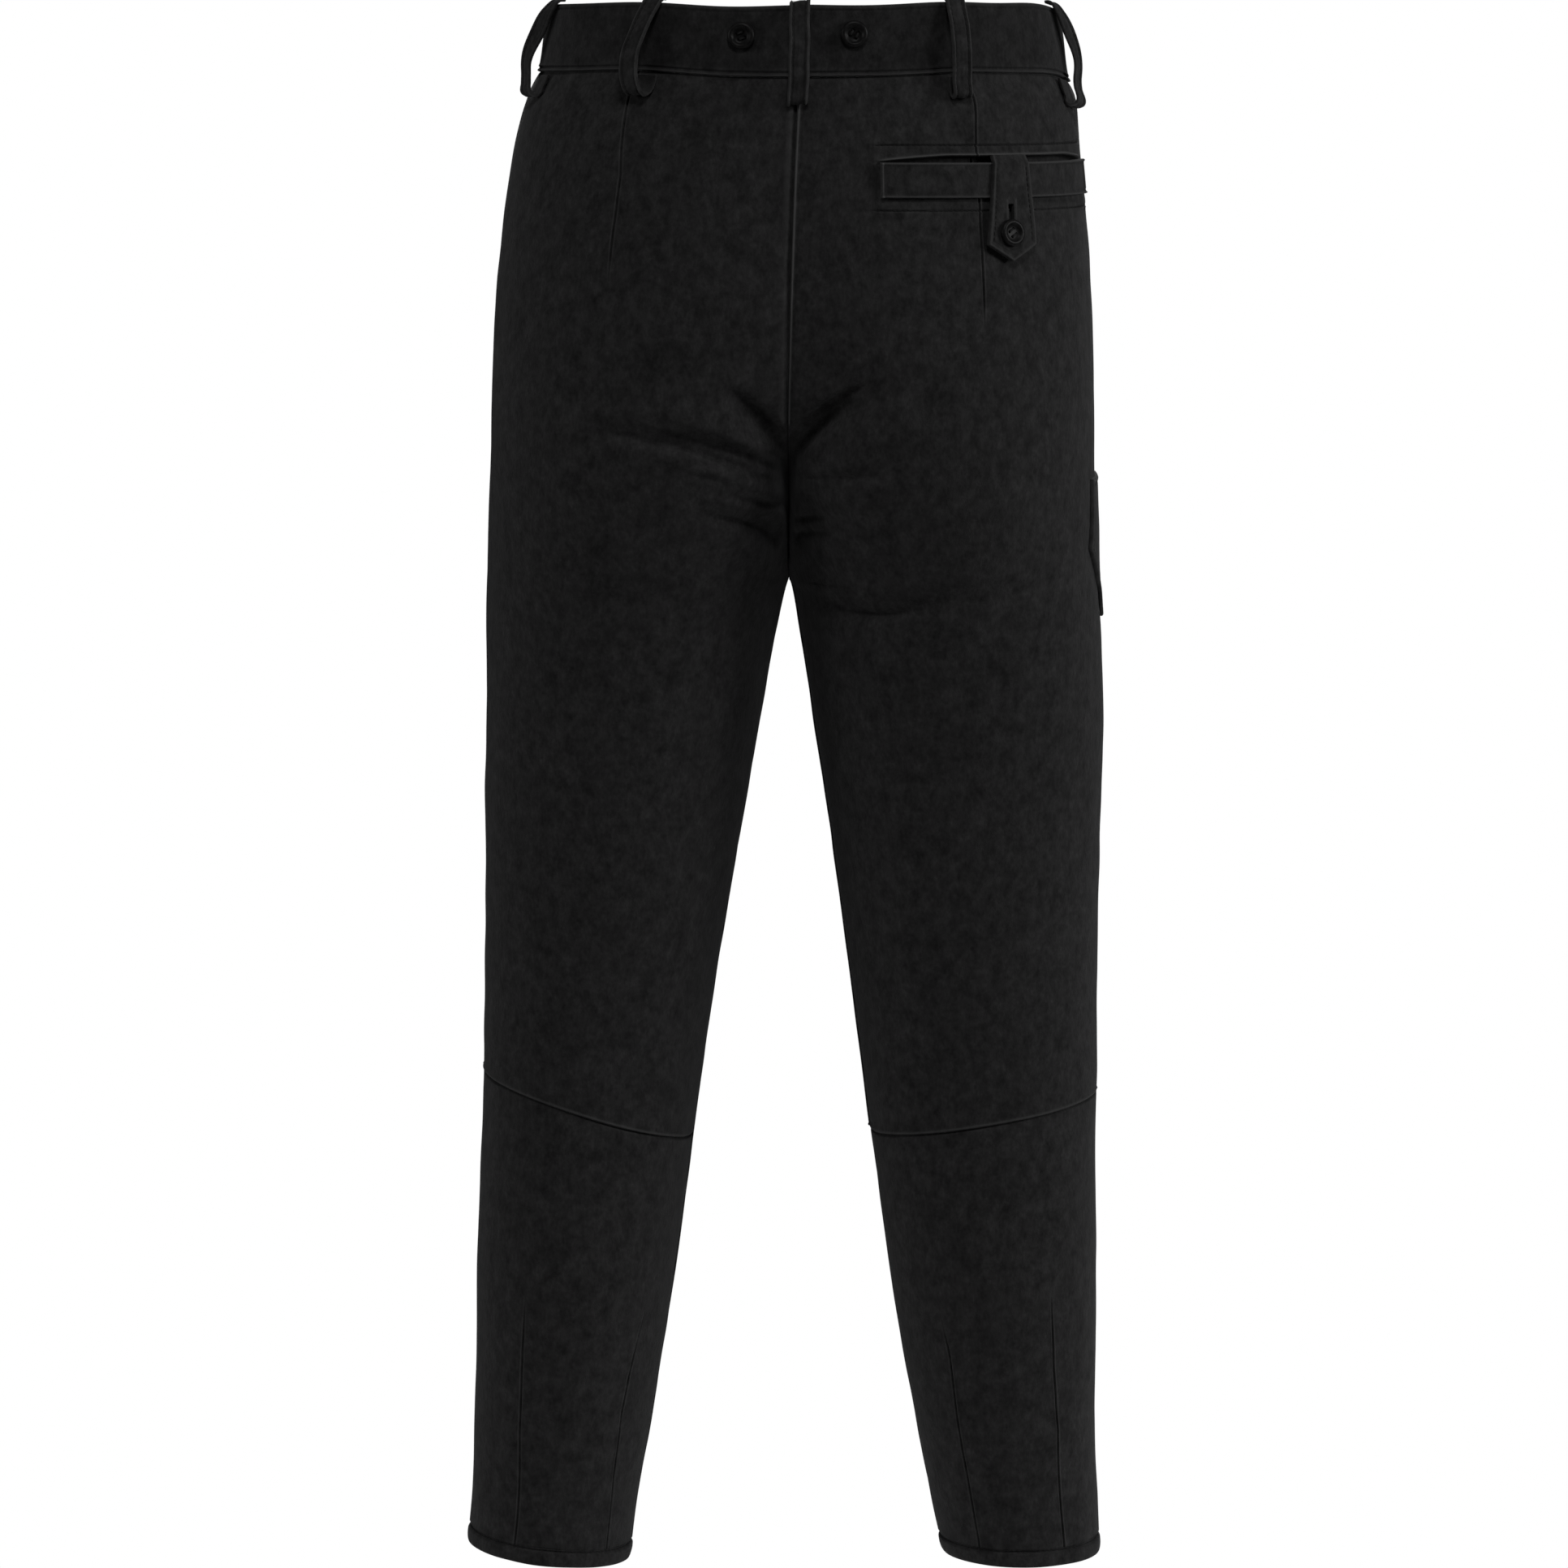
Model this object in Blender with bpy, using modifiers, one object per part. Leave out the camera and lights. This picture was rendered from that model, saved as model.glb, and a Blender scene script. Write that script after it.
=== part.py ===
"""Long tapered breeches in black brushed cloth, filled out, hollow and open at waist and hems.

The front of the garment faces -Y and its back +Y. +X is the wearer's left. The origin is in the
middle of the waistband. Sizes below are in millimetres, and MM turns them into metres. A place on
the cloth is given as a tailor would measure it: its drop below the middle of the waistband, and
its distance along the cloth from the side seam, positive towards the back.
"""
import math
from collections import namedtuple

import bmesh
import bpy
import numpy as np
from mathutils import Vector

MM = 0.001
LEFT = 1
RIGHT = -1
SIDE_NAMES = {LEFT: "left", RIGHT: "right"}
JUST_IN_FRONT = -1e-6

# Cloth and seams
CLOTH = 2.0
SEAM_GAP = 0.3
LEG_DROP = {LEFT: 937.8, RIGHT: 934.0}
CROTCH_DROP = 326.0

# Waistband
BAND_TOP = -22.0
BAND_SEAM = 18.7
BAND_THICKNESS = 3.2
BAND_PROUD = 0.8
FRONT_DIP = 8.0
OVERLAP = 18.0
UNDERLAP = 20.0
OVERLAP_RAMP = 16.0

# The turned hem of each leg
HEM_HEIGHT = 11.0
HEM_THICKNESS = 4.4
HEM_PROUD = 1.1
HEM_SQUARENESS = 0.5
HEM_TILT = {LEFT: 0.095, RIGHT: 0.010}

# The curved seam at the back of each knee, at the side seam and at the inseam
KNEE_AT_SIDE = {LEFT: 634.0, RIGHT: 644.0}
KNEE_AT_INSEAM = {LEFT: 674.0, RIGHT: 669.0}

# Half sections of the garment, from the waist down. outer is half the width over both side seams,
# sway moves the side seams and middle the centre seam and the inseams towards the wearer's left.
# gap is half the space between the legs, and above the crotch, as a minus, how far each leg's
# ring would reach past the middle. front, back and seam are distances from the middle in depth.
Section = namedtuple("Section", "drop outer sway middle gap front back seam front_round back_round")
SECTIONS = [
    Section(-26, 154.6, -2.4, -2.4, -154.6, 107, 110, 0, 2.25, 2.25),
    Section(0, 157.6, -2.4, -2.4, -157.6, 109, 112, 0, 2.25, 2.25),
    Section(20, 160.4, -2.2, -2.2, -159.0, 112, 114, 0, 2.25, 2.25),
    Section(34, 166.2, -1.8, -1.8, -156.0, 115, 118, 0, 2.25, 2.25),
    Section(50, 169.6, -0.4, -1.2, -150.0, 117, 122, 1, 2.6, 2.25),
    Section(75, 173.3, 0.9, -0.4, -138.0, 119, 127, 2, 2.6, 2.25),
    Section(124, 179.0, 2.0, 0.7, -112.0, 121, 133, 3, 2.9, 2.25),
    Section(174, 182.3, 2.1, 1.6, -84.0, 121, 136, 4, 3.2, 2.25),
    Section(223, 184.1, 2.0, 2.2, -55.0, 118, 136, 4, 3.2, 2.25),
    Section(260, 184.6, 1.7, 2.5, -33.0, 114, 131, 3, 3.2, 2.25),
    Section(295, 185.8, 1.3, 2.7, -12.4, 109, 122, 2, 3.2, 2.25),
    Section(315, 186.4, 1.0, 2.8, -3.2, 106, 116, 1, 3.2, 2.25),
    Section(326, 186.8, 0.8, 2.8, 0.0, 104, 112, 0, 3.2, 2.25),
    Section(333, 187.3, 0.6, 2.8, 2.5, 103, 109, 0, 2.8, 2.25),
    Section(343, 187.8, 0.4, 2.9, 4.8, 102, 107, 0, 2.8, 2.25),
    Section(373, 188.9, -0.3, 3.3, 10.0, 99, 101, -1, 2.8, 2.25),
    Section(424, 189.6, -1.1, 3.6, 18.2, 96, 94, -2, 2.2, 2.2),
    Section(499, 189.3, -0.8, 3.7, 30.3, 91, 86, -2, 2.2, 2.2),
    Section(575, 189.0, -0.3, 4.0, 41.9, 85, 79, -2, 2.2, 2.2),
    Section(651, 189.2, -0.5, 3.9, 52.3, 78, 75, -1, 2.2, 2.2),
    Section(702, 190.5, -0.3, 3.1, 59.1, 72, 76, 0, 2.15, 2.15),
    Section(779, 191.9, 0.3, 2.1, 70.2, 65, 72, 1, 2.1, 2.1),
    Section(856, 192.6, 0.6, 0.8, 83.3, 58, 63, 1, 2.05, 2.05),
    Section(902, 194.5, -0.2, -0.1, 92.0, 55, 58, 0, 2.0, 2.0),
    Section(950, 197.4, 0.5, -2.9, 100.3, 53, 56, 0, 2.0, 2.0),
]

# Where the waistband rides up a little: distance along the cloth from the side seam, and how far
# its seam and its top edge rise there
Lift = namedtuple("Lift", "side along width seam top")
BAND_LIFTS = [
    Lift(LEFT, 122, 40, 1.6, 1.6),
    Lift(LEFT, 172, 38, -1.4, -0.9),
    Lift(LEFT, 220, 32, -1.1, 1.0),
    Lift(RIGHT, 120, 36, 2.6, 2.6),
    Lift(RIGHT, 218, 34, -1.1, 1.05),
    Lift(RIGHT, 146, 44, -0.6, 1.2),
    Lift(RIGHT, 62, 34, 2.0, 3.4),
    Lift(RIGHT, 6, 20, -3.0, -1.2),
]

# Main folds of the cloth. Each is drawn with three places, each place as the distance along the
# cloth from the side seam and the drop; the second only bends it and is not reached. depth is how
# far a trough is sunk, and a ridge has a minus.
Fold = namedtuple("Fold", "side along_a drop_a along_b drop_b along_c drop_c width depth")
FOLDS = [
    Fold(LEFT, 226, 206, 250, 219, 272, 242, 9, 3.6),
    Fold(LEFT, 150, 232, 208, 235, 272, 264, 8, 2.8),
    Fold(LEFT, 208, 281, 240, 284, 274, 305, 8, 2.6),
    Fold(LEFT, 186, 341, 205, 343, 230, 348, 8, 1.2),
    Fold(RIGHT, 214, 199, 245, 215, 272, 240, 11, 4.2),
    Fold(RIGHT, 204, 256, 235, 258, 270, 263, 7, 1.6),
    Fold(RIGHT, 240, 292, 256, 294, 274, 300, 7, 1.6),
    Fold(RIGHT, 246, 339, 190, 347, 98, 320, 8, 2.6),
    Fold(LEFT, -208, 232, -236, 246, -262, 272, 10, 3.2),
    Fold(LEFT, -140, 286, -190, 288, -250, 306, 9, 2.4),
    Fold(RIGHT, -200, 226, -236, 244, -262, 268, 11, 3.6),
    Fold(RIGHT, -120, 330, -180, 338, -240, 322, 9, 2.4),
    Fold(LEFT, -30, 622, -85, 634, -140, 618, 10, 2.2),
    Fold(RIGHT, -45, 640, -95, 650, -145, 636, 10, 2.2),
]

# The strip behind the front opening
SHIELD_WIDTH = 40.0
SHIELD_DROP = 190.0
SHIELD_GAP = 0.95

# Belt loops. way runs 0 to 4 round the waist from the centre back over the wearer's left. stand
# is how far the strip stands out at its belly's drop, lower its share of that halfway to the foot
# and top its share near the band's top. fold is the roundness of the foot and foot its lowest
# drop. drift is how far the belly lies sideways, towards a larger way, and twist how many degrees
# the edge on that side is turned out halfway from the belly to the band's top.
LOOP_WIDTH = 12.5
LOOP_THICKNESS = 1.6
LOOP_CLEAR = 0.35
Loop = namedtuple("Loop", "name way stand belly lower top fold foot drift twist")
BELT_LOOPS = [
    Loop("belt_loop_back", 0.0, 7.6, 8, 0.85, 0.25, 1.9, 34.0, 0.0, 0),
    Loop("belt_loop_back_left", 0.365, 10.4, 12, 0.92, 0.25, 3.8, 32.4, 5.0, -8),
    Loop("belt_loop_side_left", 0.76, 7.8, 15, 0.62, 0.34, 1.3, 33.0, 22.0, 32),
    Loop("belt_loop_front_left", 1.66, 10.0, 8, 0.90, 0.25, 2.2, 34.0, 0.0, 0),
    Loop("belt_loop_front_right", 2.34, 10.0, 8, 0.90, 0.25, 2.2, 34.0, 0.0, 0),
    Loop("belt_loop_side_right", 3.20, 7.1, 9, 0.56, 0.32, 1.1, 36.0, -18.0, -20),
    Loop("belt_loop_back_right", 3.62, 7.8, 4, 0.75, 0.25, 2.0, 33.0, 1.0, 0),
]

# Buttons
BRACE_BUTTON_RADIUS = 8.2
TAB_BUTTON_RADIUS = 8.2
TAB_BUTTON_SHIFT = 2.2
FRONT_BUTTON_DROP = 0.0
Brace = namedtuple("Brace", "name way drop")
BRACE_BUTTONS = [
    Brace("brace_button_back_left", 0.14, -5.0),
    Brace("brace_button_back_right", 3.87, -5.5),
    Brace("brace_button_front_left", 1.78, -2.0),
    Brace("brace_button_side_left", 1.40, -2.0),
    Brace("brace_button_front_right", 2.22, -2.0),
    Brace("brace_button_side_right", 2.60, -2.0),
]

# The back pocket on the wearer's right, its places as distances from the side seam
WELT_INNER = 190.6
WELT_SLANT = 0.2
WELT_OUTER = 22.0
WELT_TOP = 69.5
WELT_HEIGHT = 21.0
TAB_TOP = 65.0
TAB_TOP_ALONG = 108.3
TAB_SHOULDER = 118.0
TAB_SHOULDER_ALONG = 118.7
TAB_POINT = 128.0
TAB_TOP_WIDTH = 24.5
TAB_WIDTH = 35.0
TAB_BUTTON_DROP = 111.0

# The pocket on the outer seam of the wearer's right leg
SIDE_POCKET_FRONT = -30.0
Edge = namedtuple("Edge", "drop along")
SIDE_POCKET_BACK = [
    Edge(263.0, 38.0),
    Edge(305.0, 48.0),
    Edge(322.0, 27.0),
    Edge(346.0, 1.0),
    Edge(351.0, -8.0),
]

# How finely each piece is divided
FRONT_COLUMNS = 14
FRONT_ROWS = 34
BACK_COLUMNS = 18
BACK_ROWS = 34
CALF_COLUMNS = 14
CALF_ROWS = 13
HEM_COLUMNS = 30
HEM_PROFILE = 8
BAND_COLUMNS = 32
BAND_ROWS = 3
SHIELD_ROWS = 12
LOOP_STEPS = 20
WELT_COLUMNS = 14
TAB_ROWS = 10
SIDE_POCKET_ROWS = 12
BUTTON_STEPS = 16
EDGE_FADE = 150.0
CROTCH_ROWS = CROTCH_DROP - 8.0
CROTCH_SPAN = 30.0
CROTCH_CLOSENESS = 4.0


def smooth_value(places, knots, values):
    """A smooth curve through the table's values which never swings past them."""
    steps = np.diff(knots)
    slopes = np.diff(values) / steps
    tangents = np.zeros(len(values))
    tangents[0] = slopes[0]
    tangents[-1] = slopes[-1]
    for i in range(1, len(values) - 1):
        if slopes[i - 1] * slopes[i] > 0:
            before = 2 * steps[i] + steps[i - 1]
            after = steps[i] + 2 * steps[i - 1]
            tangents[i] = (before + after) / (before / slopes[i - 1] + after / slopes[i])
    i = np.clip(np.searchsorted(knots, places) - 1, 0, len(knots) - 2)
    t = np.clip((places - knots[i]) / steps[i], 0, 1)
    return (
        values[i] * (1 + 2 * t) * (1 - t) ** 2
        + values[i + 1] * t * t * (3 - 2 * t)
        + tangents[i] * steps[i] * t * (1 - t) ** 2
        - tangents[i + 1] * steps[i] * t * t * (1 - t)
    )


def section_column(name, drop):
    """One size of the sections, at any drop."""
    knots = np.array([row.drop for row in SECTIONS], float)
    values = np.array([getattr(row, name) for row in SECTIONS], float)
    return smooth_value(drop, knots, values)


def cloth_point(side, drop, turn, sink=0.0, trim=SEAM_GAP / 2):
    """A place on the cloth. turn is 0 at the side seam, 1 at the back's other edge, -1 in front."""
    drop, turn, sink = np.broadcast_arrays(
        np.asarray(drop, float), np.asarray(turn, float), np.asarray(sink, float)
    )
    middle = side * section_column("middle", drop)
    outer = section_column("outer", drop) + side * section_column("sway", drop) - sink
    inner = section_column("gap", drop) + middle + sink
    seam = section_column("seam", drop)
    depth = np.where(turn >= 0, section_column("back", drop) - seam, section_column("front", drop) + seam)
    depth = depth - sink
    power = np.where(
        turn >= 0, section_column("back_round", drop), section_column("front_round", drop)
    )
    centre = (outer + inner) / 2
    half = (outer - inner) / 2
    cut = np.clip((middle + trim - centre) / half, -1, 1)
    rise = (1 - np.abs(cut) ** power) ** (1 / power)
    last = np.minimum(np.arctan2(rise, cut), math.pi - trim / depth)
    first = trim / depth
    angle = first + np.abs(turn) * (last - first)
    cosine = np.cos(angle)
    sine = np.sin(angle)
    radius = (np.abs(cosine) ** power + np.abs(sine) ** power) ** (-1 / power)
    x = side * (centre + half * radius * cosine)
    y = seam + np.where(turn >= 0, 1, -1) * depth * radius * sine
    return np.stack([x, y, -drop], axis=-1)


class ClothMeasure:
    """Distances along the cloth from the side seam, looked up on a fine net."""

    def __init__(self, side):
        self.drops = np.arange(-30.0, 960.0, 3.0)
        self.turns = np.linspace(-1, 1, 161)
        points = cloth_point(side, self.drops[:, None], self.turns[None, :], trim=0.0)
        steps = np.linalg.norm(np.diff(points, axis=1), axis=2)
        length = np.concatenate([np.zeros((len(self.drops), 1)), np.cumsum(steps, axis=1)], axis=1)
        self.along = length - length[:, [len(self.turns) // 2]]

    def row(self, drop):
        """The lengths at one drop."""
        place = np.clip((drop - self.drops[0]) / 3.0, 0, len(self.drops) - 1.001)
        i = int(place)
        return self.along[i] * (i + 1 - place) + self.along[i + 1] * (place - i)

    def along_at(self, drop, turn):
        """Distance along the cloth at each drop and turn."""
        drop, turn = np.broadcast_arrays(np.asarray(drop, float), np.asarray(turn, float))
        down = np.clip((drop - self.drops[0]) / 3.0, 0, len(self.drops) - 1.001)
        over = np.clip((turn + 1) / 2 * (len(self.turns) - 1), 0, len(self.turns) - 1.001)
        i = down.astype(int)
        j = over.astype(int)
        a = down - i
        b = over - j
        top = self.along[i, j] * (1 - b) + self.along[i, j + 1] * b
        low = self.along[i + 1, j] * (1 - b) + self.along[i + 1, j + 1] * b
        return top * (1 - a) + low * a

    def turn_at(self, drop, along):
        """The turn of a place that is given by its distance along the cloth."""
        drop, along = np.broadcast_arrays(np.asarray(drop, float), np.asarray(along, float))
        turns = [np.interp(a, self.row(d), self.turns) for d, a in zip(drop.ravel(), along.ravel())]
        return np.array(turns).reshape(drop.shape)


MEASURE = {side: ClothMeasure(side) for side in (LEFT, RIGHT)}


def fold_depth(side, drop, along):
    """How far the folds sink the cloth at a place."""
    depth = np.zeros(np.broadcast(drop, along).shape)
    for fold in FOLDS:
        if fold.side != side:
            continue
        nearest = np.full(depth.shape, np.inf)
        share = np.zeros(depth.shape)
        for t in np.linspace(0, 1, 17):
            a = (1 - t) ** 2 * fold.along_a + 2 * t * (1 - t) * fold.along_b + t * t * fold.along_c
            d = (1 - t) ** 2 * fold.drop_a + 2 * t * (1 - t) * fold.drop_b + t * t * fold.drop_c
            distance = np.hypot(along - a, drop - d)
            share = np.where(distance < nearest, t, share)
            nearest = np.minimum(nearest, distance)
        taper = np.sin(math.pi * np.clip(0.12 + 0.76 * share, 0, 1))
        depth += fold.depth * taper * np.exp(-((nearest / fold.width) ** 2))
    return depth


def dressed_point(side, drop, turn, out=0.0, trim=SEAM_GAP / 2):
    """A place on the folded cloth, moved out from it."""
    along = MEASURE[side].along_at(drop, turn)
    return cloth_point(side, drop, turn, fold_depth(side, drop, along) - out, trim)


def spot(side, along, drop, out=0.0):
    """A place given by its distance along the cloth, moved out from it."""
    turn = MEASURE[side].turn_at(drop, along)
    return dressed_point(side, drop, turn, out, trim=0.0)


def waist_shift(side, turn, drop=BAND_SEAM):
    """How much lower the waistband lies than at the centre back."""
    depth = cloth_point(side, 0.0, turn, trim=0.0)[..., 1]
    most = section_column("back", np.array(0.0))
    shift = FRONT_DIP * np.clip((1 - depth / most) / 2, 0, 1) ** 1.5
    along = MEASURE[side].along_at(0.0, turn)
    share = np.clip((BAND_SEAM - drop) / (BAND_SEAM - BAND_TOP), 0, 1)
    for lift in BAND_LIFTS:
        if lift.side == side:
            rise = lift.seam + (lift.top - lift.seam) * share
            shift = shift - rise * np.exp(-(((along - lift.along) / lift.width) ** 2))
    return shift


def waist_point(way, drop, out):
    """A place on or near the waistband. way runs 0 to 4 from the centre back over the left."""
    way = np.asarray(way, float) % 4.0
    on_left = way <= 2
    turn = np.where(on_left, 1 - way, way - 3)
    points = {}
    for side in (LEFT, RIGHT):
        lower = drop + waist_shift(side, turn, drop)
        points[side] = cloth_point(side, lower, turn, -np.asarray(out, float), trim=0.0)
    return np.where(on_left[..., None], points[LEFT], points[RIGHT])


def knee_drop(side, turn):
    """The curved seam at the back of the knee."""
    top = KNEE_AT_SIDE[side]
    return top + (KNEE_AT_INSEAM[side] - top) * np.sin(math.pi / 2 * turn) ** 2


def hem_drop(side, turn):
    """The lower edge of the leg, which hangs lower at the inseam."""
    level = LEG_DROP[side]
    x = side * cloth_point(side, level, turn, trim=0.0)[..., 0]
    middle = (section_column("outer", np.array(level)) + section_column("gap", np.array(level))) / 2
    return level + HEM_TILT[side] * (middle - x)


def close_rows(top, bottom, count):
    """Drops from top to bottom, closer together just above the crotch."""
    fine = np.linspace(top, bottom, 400)
    density = 1 + CROTCH_CLOSENESS * np.exp(-(((fine - CROTCH_ROWS) / CROTCH_SPAN) ** 2))
    total = np.concatenate([[0], np.cumsum((density[1:] + density[:-1]) / 2)])
    return np.interp(np.linspace(0, total[-1], count), total, fine)


def material(name, color, roughness):
    """A plain finish with the part's colour."""
    finish = bpy.data.materials.get(name) or bpy.data.materials.new(name)
    finish.use_nodes = True
    shader = finish.node_tree.nodes["Principled BSDF"]
    shader.inputs["Base Color"].default_value = (*color, 1.0)
    shader.inputs["Roughness"].default_value = roughness
    shader.inputs["Metallic"].default_value = 0.0
    return finish


def add_object(name, mesh, finish):
    """Puts a mesh in the breeches' collection as one sub-part."""
    piece = bpy.data.objects.new(name, mesh)
    mesh.materials.append(finish)
    PARTS.objects.link(piece)
    return piece


def solid_mesh(name, outer, inner):
    """A wall between two nets of points, closed along its four edges."""
    rows, columns = outer.shape[:2]
    build = bmesh.new()
    front = [[build.verts.new(point * MM) for point in line] for line in outer]
    back = [[build.verts.new(point * MM) for point in line] for line in inner]
    for i in range(rows - 1):
        for j in range(columns - 1):
            ring = [(i, j), (i + 1, j), (i + 1, j + 1), (i, j + 1)]
            build.faces.new([front[a][b] for a, b in ring])
            build.faces.new([back[a][b] for a, b in reversed(ring)])
    edge = [(i, 0) for i in range(rows)] + [(rows - 1, j) for j in range(1, columns)]
    edge += [(i, columns - 1) for i in range(rows - 2, -1, -1)] + [(0, j) for j in range(columns - 2, 0, -1)]
    for (i, j), (k, m) in zip(edge, edge[1:] + edge[:1]):
        build.faces.new([front[k][m], front[i][j], back[i][j], back[k][m]])
    bmesh.ops.triangulate(build, faces=build.faces[:])
    bmesh.ops.recalc_face_normals(build, faces=build.faces[:])
    mesh = bpy.data.meshes.new(name)
    build.to_mesh(mesh)
    build.free()
    mesh.shade_smooth()
    mesh.set_sharp_from_angle(angle=math.radians(50))
    return mesh


def panel(name, side, drops, turns, finish):
    """A cut panel of the garment, drops and turns being nets of its places."""
    outer = dressed_point(side, drops, turns)
    inner = dressed_point(side, drops, turns, out=-CLOTH)
    return add_object(name, solid_mesh(name, outer, inner), finish)


def fitted_drops(rows, top, bottom, fade):
    """Moves the first and last of a panel's rows on to its edges, and those near them in part."""
    rows = rows[:, None]
    near_top = np.clip(1 - (rows - rows[0]) / fade, 0, 1)
    near_bottom = np.clip(1 - (rows[-1] - rows) / fade, 0, 1)
    return rows + near_top * (top - rows[0]) + near_bottom * (bottom - rows[-1])


def build_panels(side, finish):
    """Front, back and calf panels of one side."""
    suffix = SIDE_NAMES[side]
    half_gap = SEAM_GAP / 2
    leg_end = LEG_DROP[side] - HEM_HEIGHT

    turns = np.linspace(JUST_IN_FRONT, -1, FRONT_COLUMNS)[None, :]
    top = BAND_SEAM + waist_shift(side, turns) + half_gap
    bottom = hem_drop(side, turns) - HEM_HEIGHT - half_gap
    rows = close_rows(BAND_SEAM, leg_end, FRONT_ROWS)
    panel("front_" + suffix, side, fitted_drops(rows, top, bottom, EDGE_FADE), turns, finish)

    turns = np.linspace(0, 1, BACK_COLUMNS)[None, :]
    top = BAND_SEAM + waist_shift(side, turns) + half_gap
    bottom = knee_drop(side, turns) - half_gap
    rows = close_rows(BAND_SEAM, KNEE_AT_SIDE[side], BACK_ROWS)
    panel("back_" + suffix, side, fitted_drops(rows, top, bottom, EDGE_FADE), turns, finish)

    turns = np.linspace(0, 1, CALF_COLUMNS)[None, :]
    top = knee_drop(side, turns) + half_gap
    bottom = hem_drop(side, turns) - HEM_HEIGHT - half_gap
    share = np.linspace(0, 1, CALF_ROWS)[:, None]
    panel("calf_" + suffix, side, top + share * (bottom - top), turns, finish)


def build_hem(side, finish):
    """The turned end of a leg, a soft bead round the whole hem."""
    turns = np.linspace(1, -1, HEM_COLUMNS, endpoint=False)
    edge = hem_drop(side, turns)
    middle_out = HEM_PROUD - HEM_THICKNESS / 2
    nets = []
    for k in range(HEM_PROFILE):
        angle = 2 * math.pi * k / HEM_PROFILE
        up = math.copysign(abs(math.cos(angle)) ** HEM_SQUARENESS, math.cos(angle))
        out = math.copysign(abs(math.sin(angle)) ** HEM_SQUARENESS, math.sin(angle))
        drop = edge - HEM_HEIGHT / 2 - up * (HEM_HEIGHT / 2)
        nets.append(cloth_point(side, drop, turns, -(middle_out + out * HEM_THICKNESS / 2), trim=0.0))
    name = "hem_" + SIDE_NAMES[side]
    build = bmesh.new()
    rings = [[build.verts.new(point * MM) for point in net] for net in nets]
    for k in range(HEM_PROFILE):
        for j in range(HEM_COLUMNS):
            after = (j + 1) % HEM_COLUMNS
            below = (k + 1) % HEM_PROFILE
            build.faces.new([rings[k][j], rings[k][after], rings[below][after], rings[below][j]])
    bmesh.ops.triangulate(build, faces=build.faces[:])
    bmesh.ops.recalc_face_normals(build, faces=build.faces[:])
    mesh = bpy.data.meshes.new(name)
    build.to_mesh(mesh)
    build.free()
    mesh.shade_smooth()
    add_object(name, mesh, finish)


def way_step(distance):
    """A short distance round the waist, as a part of the way."""
    quarter = float(MEASURE[LEFT].along_at(0.0, 1.0))
    return distance / quarter


def build_waistband(finish):
    """Both halves of the band. The left one laps over the right one's sunk end in front."""
    trim = way_step(SEAM_GAP / 2)
    drops = np.linspace(BAND_TOP, BAND_SEAM - SEAM_GAP / 2, BAND_ROWS)[:, None]
    left = np.linspace(trim, 2 + way_step(OVERLAP), BAND_COLUMNS)[None, :]
    outer = waist_point(left, drops, BAND_PROUD)
    inner = waist_point(left, drops, BAND_PROUD - BAND_THICKNESS)
    add_object("waistband_left", solid_mesh("waistband_left", outer, inner), finish)

    ramp_end = 2 + way_step(OVERLAP + OVERLAP_RAMP + 2)
    lap = np.linspace(2 - way_step(UNDERLAP), 2 + way_step(OVERLAP + 2), 5)
    ramp = np.linspace(lap[-1], ramp_end, 5)[1:]
    rest = np.linspace(ramp_end, 4 - trim, BAND_COLUMNS - 6)[1:]
    right = np.concatenate([lap, ramp, rest])[None, :]
    share = np.clip((ramp_end - right) / (ramp_end - lap[-1]), 0, 1)
    sunk = (BAND_THICKNESS + SEAM_GAP + 0.2) * share * share * (3 - 2 * share)
    outer = waist_point(right, drops, BAND_PROUD - sunk)
    inner = waist_point(right, drops, BAND_PROUD - BAND_THICKNESS - sunk)
    add_object("waistband_right", solid_mesh("waistband_right", outer, inner), finish)


def build_fly_shield(finish):
    """The strip of cloth behind the front opening."""
    ways = np.linspace(2 - way_step(SHIELD_WIDTH / 2), 2 + way_step(SHIELD_WIDTH / 2), 5)[None, :]
    drops = np.linspace(BAND_SEAM + 3, SHIELD_DROP, SHIELD_ROWS)[:, None]
    outer = waist_point(ways, drops, -CLOTH - SHIELD_GAP)
    inner = waist_point(ways, drops, -2 * CLOTH - SHIELD_GAP)
    add_object("fly_shield", solid_mesh("fly_shield", outer, inner), finish)


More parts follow.
